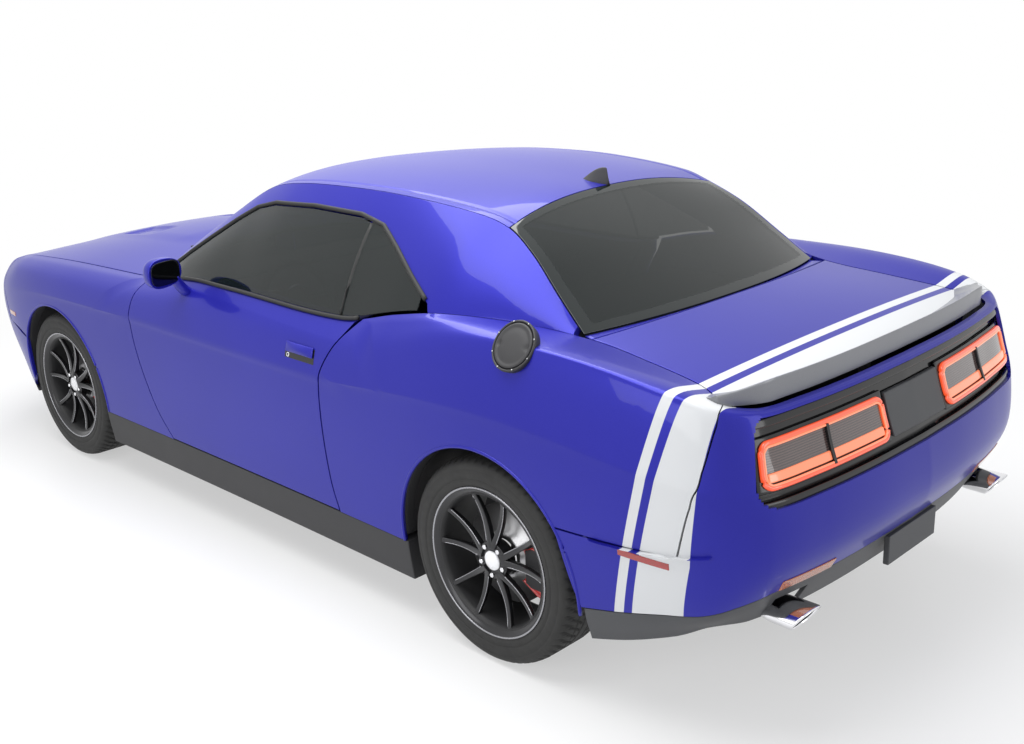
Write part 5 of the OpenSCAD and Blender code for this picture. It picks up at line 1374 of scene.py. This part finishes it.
for q, yy in enumerate((318, 452)):
    fr = (np.array([333, yy, 872.0]), np.array([0, 1.0, 0]), np.array([0, 0, 1.0]),
        np.array([-1.0, 0, 0]))
    P0, FW, UP, OUT = fr
    dish(f"dial_bezel_{q}", [[46, -12], [46, 2], [48, 5], [52, 5], [54, 2], [54, -12], [0.01, -12],
        [0.01, -6], [45, -6]], CHROME, "shell", 48)
    dish(f"dial_face_{q}", [[0.01, -7], [45, -7], [45, -5.6], [0.01, -5.6]], DIAL, "shell", 48)
    for k in range(11):
        a = np.radians(225 - 27 * k)
        c = filler_point(np.array([36.0, 43.0]), np.array([a, a]), np.array([-4.0, -4.0]))
        tube(f"dial_mark_{q}_{k}", c, 1.1, WHITE, "shell", sides=6)
    a = np.radians(120.0 + 60 * q)
    tube(f"dial_needle_{q}", filler_point(np.array([2.0, 38.0]), np.array([a, a]),
        np.array([-2.5, -2.5])), 1.4, CALIPER, "shell", sides=8)
print("dash built")

# %% [markdown]
# ### Steering wheel
# The rim is a bar bent to a circle in the tilted plane of the wheel, a little thicker at
# six places for the grip. It rides on the steering body and turns with the front wheels.

# %% Steering wheel
tilt = math.radians(112)
HUB = np.array([235.0, 385, 880])
AX = np.array([math.sin(tilt), 0, math.cos(tilt)])
WX, WY = np.array([math.cos(tilt), 0, -math.sin(tilt)]), np.array([0, 1.0, 0])
def on_wheel(r, a, h=0.0):
    r, a = np.broadcast_arrays(np.asarray(r, float), np.asarray(a, float))
    return HUB + (r * np.cos(a))[..., None] * WX + (r * np.sin(a))[...,
        None] * WY + (np.asarray(h, float) + 0 * r)[..., None] * AX
a = turn(96)
rim = tube("steering_rim", on_wheel(170, a), 14 + 1.2 * np.cos(6 * a), LEATHER, "steering_wheel",
    closed=True, sides=18)
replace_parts(rim, "steering_wheel")
for k, q in enumerate((0.0, math.pi / 2, -math.pi / 2)):
    r = np.linspace(40, 162, 16)
    tube(f"steering_spoke_{k}", on_wheel(r, q, 6 * (1 - (r - 40) / 122)), np.linspace(24, 12, 16),
        BLACK, "steering_wheel", sides=14, squash=(1, 0.4))
t = np.array([[0.01, -14], [40, -13], [56, -8], [62, 2], [58, 20], [40, 28], [0.01, 29]])
P0, FW, UP, OUT = HUB, WX, WY, np.cross(WX, WY)
dish("steering_hub", [[r, -h if OUT @ AX < 0 else h] for r, h in t], BLACK, "steering_wheel", 48)
tube("steering_column", np.array([HUB + AX * 33, HUB + AX * 160]), 31, BLACK, "shell", sides=28)
print("cabin built")

# %% [markdown]
# ## Lamps in the nose, exhaust, underside and wipers
# Each front lamp is a bowl with a bright ring behind a clear lens. The exhaust ends in wide
# chrome ovals. Pieces below the floor keep their CAD shape and get sealer, cast or
# steel finishes.

# %% Nose lamps, exhaust and underside
GLOW = Finish("white_lamp_ring", (0.8, 0.8, 0.82), 0.2, Emission_Strength=0.9)
GLOW.set("Emission Color", GLOW.mix(GLOW.noise(40.0) * 0.3, (0.9, 0.92, 1.0), (0.8, 0.84, 0.95)))
CLEAR = Finish("clear_lamp_glass", (0.30, 0.31, 0.33), 0.02, Coat_Weight=1.0)
CLEAR.set("Alpha", CLEAR.noise(4.0) * 0.05 + 0.2)
first = None
for s in (1, -1):
    for q, u in enumerate((2440.0, 2650.0)):
        p = skin(u, 3.7, s)
        t = (curve(PLAN, u + 1) - curve(PLAN, u - 1))[1:]
        n = np.array([-t[1], s * t[0], 0])
        n /= np.linalg.norm(n)
        P0, OUT = p - n * 42, n
        FW = np.cross([0, 0, 1.0], n)
        UP = np.cross(n, FW)
        nm = f"{SIDE[s]}_{q}"
        b = dish("lamp_bowl_" + nm, [[0.01, 0], [62, 0], [63.8, 4], [63.8, 33], [60, 34], [56, 30],
            [40, 14], [20, 8], [0.01, 7]], CHROME, "shell", 56)
        if first is None:
            first = b
            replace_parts(b, "headlamps")
        a = turn(56)
        tube("lamp_halo_" + nm, filler_point(np.full(56, 55.0), a, np.full(56, 29.0)), 3.2, GLOW,
            "shell", closed=True, sides=10)
        dish("lamp_eye_" + nm, [[0.01, 8], [26, 8], [27, 18], [22, 24], [12, 27], [0.01, 28]],
            SCREEN_DARK, "shell", 48)
        dish("lamp_lens_" + nm, [[0.01, 35.5], [40, 34.5], [60, 31], [61, 33], [40, 37],
            [0.01, 38.5]], CLEAR, "shell", 56)
print("nose lamps built")

# %% [markdown]
# ### Exhaust
# The pipes run under the floor, and their corners are averaged a few times to give the soft
# bends of a bent tube. The tips are wide ovals with a dark inside.

# %% Exhaust
pipe = None
for s in (1, -1):
    R_ = np.array([[700, 260, 138], [-1000, 260, 138], [-1860, 330, 300], [-1960, 560, 396],
        [-2380, 626, 418]], float) * [1, s, 1]
    P = sample(R_, np.linspace(0, 4, 90))
    for _ in range(6): P[1:-1] = (P[:-2] + 2 * P[1:-1] + P[2:]) / 4
    o = tube("exhaust_pipe_" + SIDE[s], P, 30, STEEL, "shell", sides=24)
    if pipe is None:
        pipe = o
        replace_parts(o, "exhaust")
    a = turn(56)[:, None]
    sec = np.array([[0, 34, 26], [30, 60, 34], [60, 68, 37], [150, 70, 38], [158, 69, 37.5],
        [159, 66, 35], [152, 63, 33], [60, 60, 31], [58, 1, 1]], float)
    slant = sec[None, :, 0] - (sec[None, :, 0] > 100) * 26 * (0.2 - np.sin(a))
    V = np.stack([-2352 - slant * 0.98, s * 636 + sec[None, :, 1] * np.cos(a),
        416 + sec[None, :, 2] * np.sin(a)], -1)
    F = quads(56, 9, True).tolist() + [[q * 9 + 8 for q in range(56)],
        [q * 9 for q in range(56)][::-1]]
    o = mesh_object("exhaust_tip_" + SIDE[s], V.reshape(-1, 3), flip(F), [CHROME, UNDER], "shell")
    o.data.polygons.foreach_set("material_index",
        [1 if all(v % 9 >= 6 for v in p.vertices) else 0 for p in o.data.polygons])
    for k, x in enumerate((-700, 200)):
        box(f"exhaust_hanger_{SIDE[s]}_{k}", [x - 15, s * 260 - 8, 150], [x + 15, s * 260 + 8, 184],
            RUBBER, "shell")
print("exhaust built")

# %% [markdown]
# ### Pieces that keep their shape
# Floor, axles, engine and liners are seen only from below or through a gap, so the CAD
# meshes stay and get a finish. The wipers lie on the foot of the windshield.

# %% Underside and wipers
for name, f in (("floor_pan", UNDER), ("engine_block", CAST), ("wheel_liners", BLACK),
    ("cowl", BLACK), ("front_axle", UNDER), ("rear_axle", UNDER), ("propshaft", STEEL),
    ("knuckle_left", CAST), ("knuckle_right", CAST)):
    for m in N[name].material_slots: m.material = f.m
for s in (1, -1):
    P = np.array([[880, s * 60 - 90, 1052], [905, s * 60 + 100, 1056], [925, s * 60 + 420, 1048]])
    P = sample(P, np.linspace(0, 2, 20))
    P[:, 2] = 1046 + 10 * np.cos(np.linspace(-1, 1, 20))
    tube("wiper_arm_" + SIDE[s], P, 6, BLACK, "shell", sides=10)
print("nose lamps, exhaust and underside done")

# %% [markdown]
# ## Studio
# A pale floor that fades to white, a wide soft box above and weaker ones at the sides. The
# camera looks down on the left rear corner with a moderate lens.

# %% Floor, light and camera
me = bpy.data.meshes.new("floor")
me.from_pydata([(-30, -30, 0), (30, -30, 0), (30, 30, 0), (-30, 30, 0)], [], [(0, 1, 2, 3)])
floor = bpy.data.objects.new("floor", me)
bpy.context.scene.collection.objects.link(floor)
FLOOR = Finish("studio_floor", (0.86, 0.86, 0.855), 0.35, Specular_IOR_Level=0.25)
me.materials.append(FLOOR.m)
fx_, fy_ = FLOOR.axes()[:2]
far = FLOOR.node("ShaderNodeMapRange", {"interpolation_type": "SMOOTHSTEP"},
    [FLOOR.node("ShaderNodeMath", {"operation": "SQRT"}, [fx_ * fx_ + fy_ * fy_ * 1.6]), 2.6, 5.5,
    0.0, 1.0])
cam_ray = FLOOR.node("ShaderNodeLightPath", out="Is Camera Ray").max(
    FLOOR.node("ShaderNodeLightPath", out="Is Glossy Ray")).max(
    FLOOR.node("ShaderNodeLightPath", out="Is Transmission Ray"))
em = FLOOR.t.nodes.new("ShaderNodeEmission"); em.inputs[0].default_value = (1, 1, 1, 1)
ms = FLOOR.t.nodes.new("ShaderNodeMixShader")
FLOOR.t.links.new(((far * 0.5 + 0.5) * cam_ray).socket, ms.inputs[0])
FLOOR.t.links.new(FLOOR.b.outputs[0], ms.inputs[1])
FLOOR.t.links.new(em.outputs[0], ms.inputs[2])
FLOOR.t.links.new(ms.outputs[0], FLOOR.t.nodes["Material Output"].inputs[0])
world = bpy.data.worlds.new("studio")
bpy.context.scene.world = world
world.use_nodes = True
wt = world.node_tree
bg = wt.nodes["Background"]
bg.inputs[0].default_value = (0.93, 0.95, 1, 1)
bg.inputs[1].default_value = 0.5
lp = wt.nodes.new("ShaderNodeLightPath")
b2 = wt.nodes.new("ShaderNodeBackground")
b2.inputs[0].default_value = (1, 1, 1, 1)
b2.inputs[1].default_value = 1.0
sees = lp.outputs["Is Camera Ray"]
for ray in ("Is Glossy Ray", "Is Transmission Ray"):
    top = wt.nodes.new("ShaderNodeMath")
    top.operation = "MAXIMUM"
    wt.links.new(sees, top.inputs[0])
    wt.links.new(lp.outputs[ray], top.inputs[1])
    sees = top.outputs[0]
mw = wt.nodes.new("ShaderNodeMixShader")
wt.links.new(sees, mw.inputs[0])
wt.links.new(bg.outputs[0], mw.inputs[1])
wt.links.new(b2.outputs[0], mw.inputs[2])
wt.links.new(mw.outputs[0], wt.nodes["World Output"].inputs[0])
print("floor and world ready")

# %% [markdown]
# ### Lights
# Large soft lamps give long even highlights on paint, where a small lamp would give a hot
# spot.

# %% Lights
def soft_box(name, at, aim, size, power):
    """Area light at a place, turned to face aim."""
    l = bpy.data.lights.new(name, "AREA")
    l.shape, l.size, l.size_y, l.energy = "RECTANGLE", size[0], size[1], power
    o = bpy.data.objects.new(name, l)
    o.location = at
    o.rotation_euler = (Vector(aim) - Vector(at)).to_track_quat("-Z", "Y").to_euler()
    bpy.context.scene.collection.objects.link(o)
soft_box("top_box", (0.3, 0.3, 4.2), (0, 0, 0), (6.5, 3.2), 330)
soft_box("left_box", (-1.0, 6.5, 2.6), (0, 0, 0.7), (6, 2.2), 120)
soft_box("rear_box", (-7.0, -0.8, 2.4), (-2, 0, 0.8), (2.2, 4.0), 70)
print("lamps placed")

# %% [markdown]
# ### Camera
# The camera is set by its place, heading, pitch and roll, and its lens by focal length.

# %% Camera
cam = bpy.data.cameras.new("camera")
co = bpy.data.objects.new("camera", cam)
bpy.context.scene.collection.objects.link(co)
EYE = (-4.127 + SHIFT / 1000, 3.426, 2.200)
SENSOR, FOCAL = 36, 1218 / 1024 * 36      # both in mm
az, el, roll = math.radians(-44.98), math.radians(17.87), math.radians(-2.03)
d = Vector((math.cos(el) * math.cos(az), math.cos(el) * math.sin(az), -math.sin(el)))
r = d.cross(Vector((0, 0, 1))).normalized()
u = r.cross(d)
r2, u2 = r * math.cos(roll) + u * math.sin(roll), u * math.cos(roll) - r * math.sin(roll)
co.matrix_world = Matrix((*((r2[k], u2[k], -d[k], EYE[k]) for k in range(3)), (0, 0, 0, 1)))
cam.lens, cam.sensor_width, cam.clip_end = FOCAL, SENSOR, 100
bpy.context.scene.camera = co
bpy.context.scene.view_settings.view_transform = "Standard"
print("studio ready")
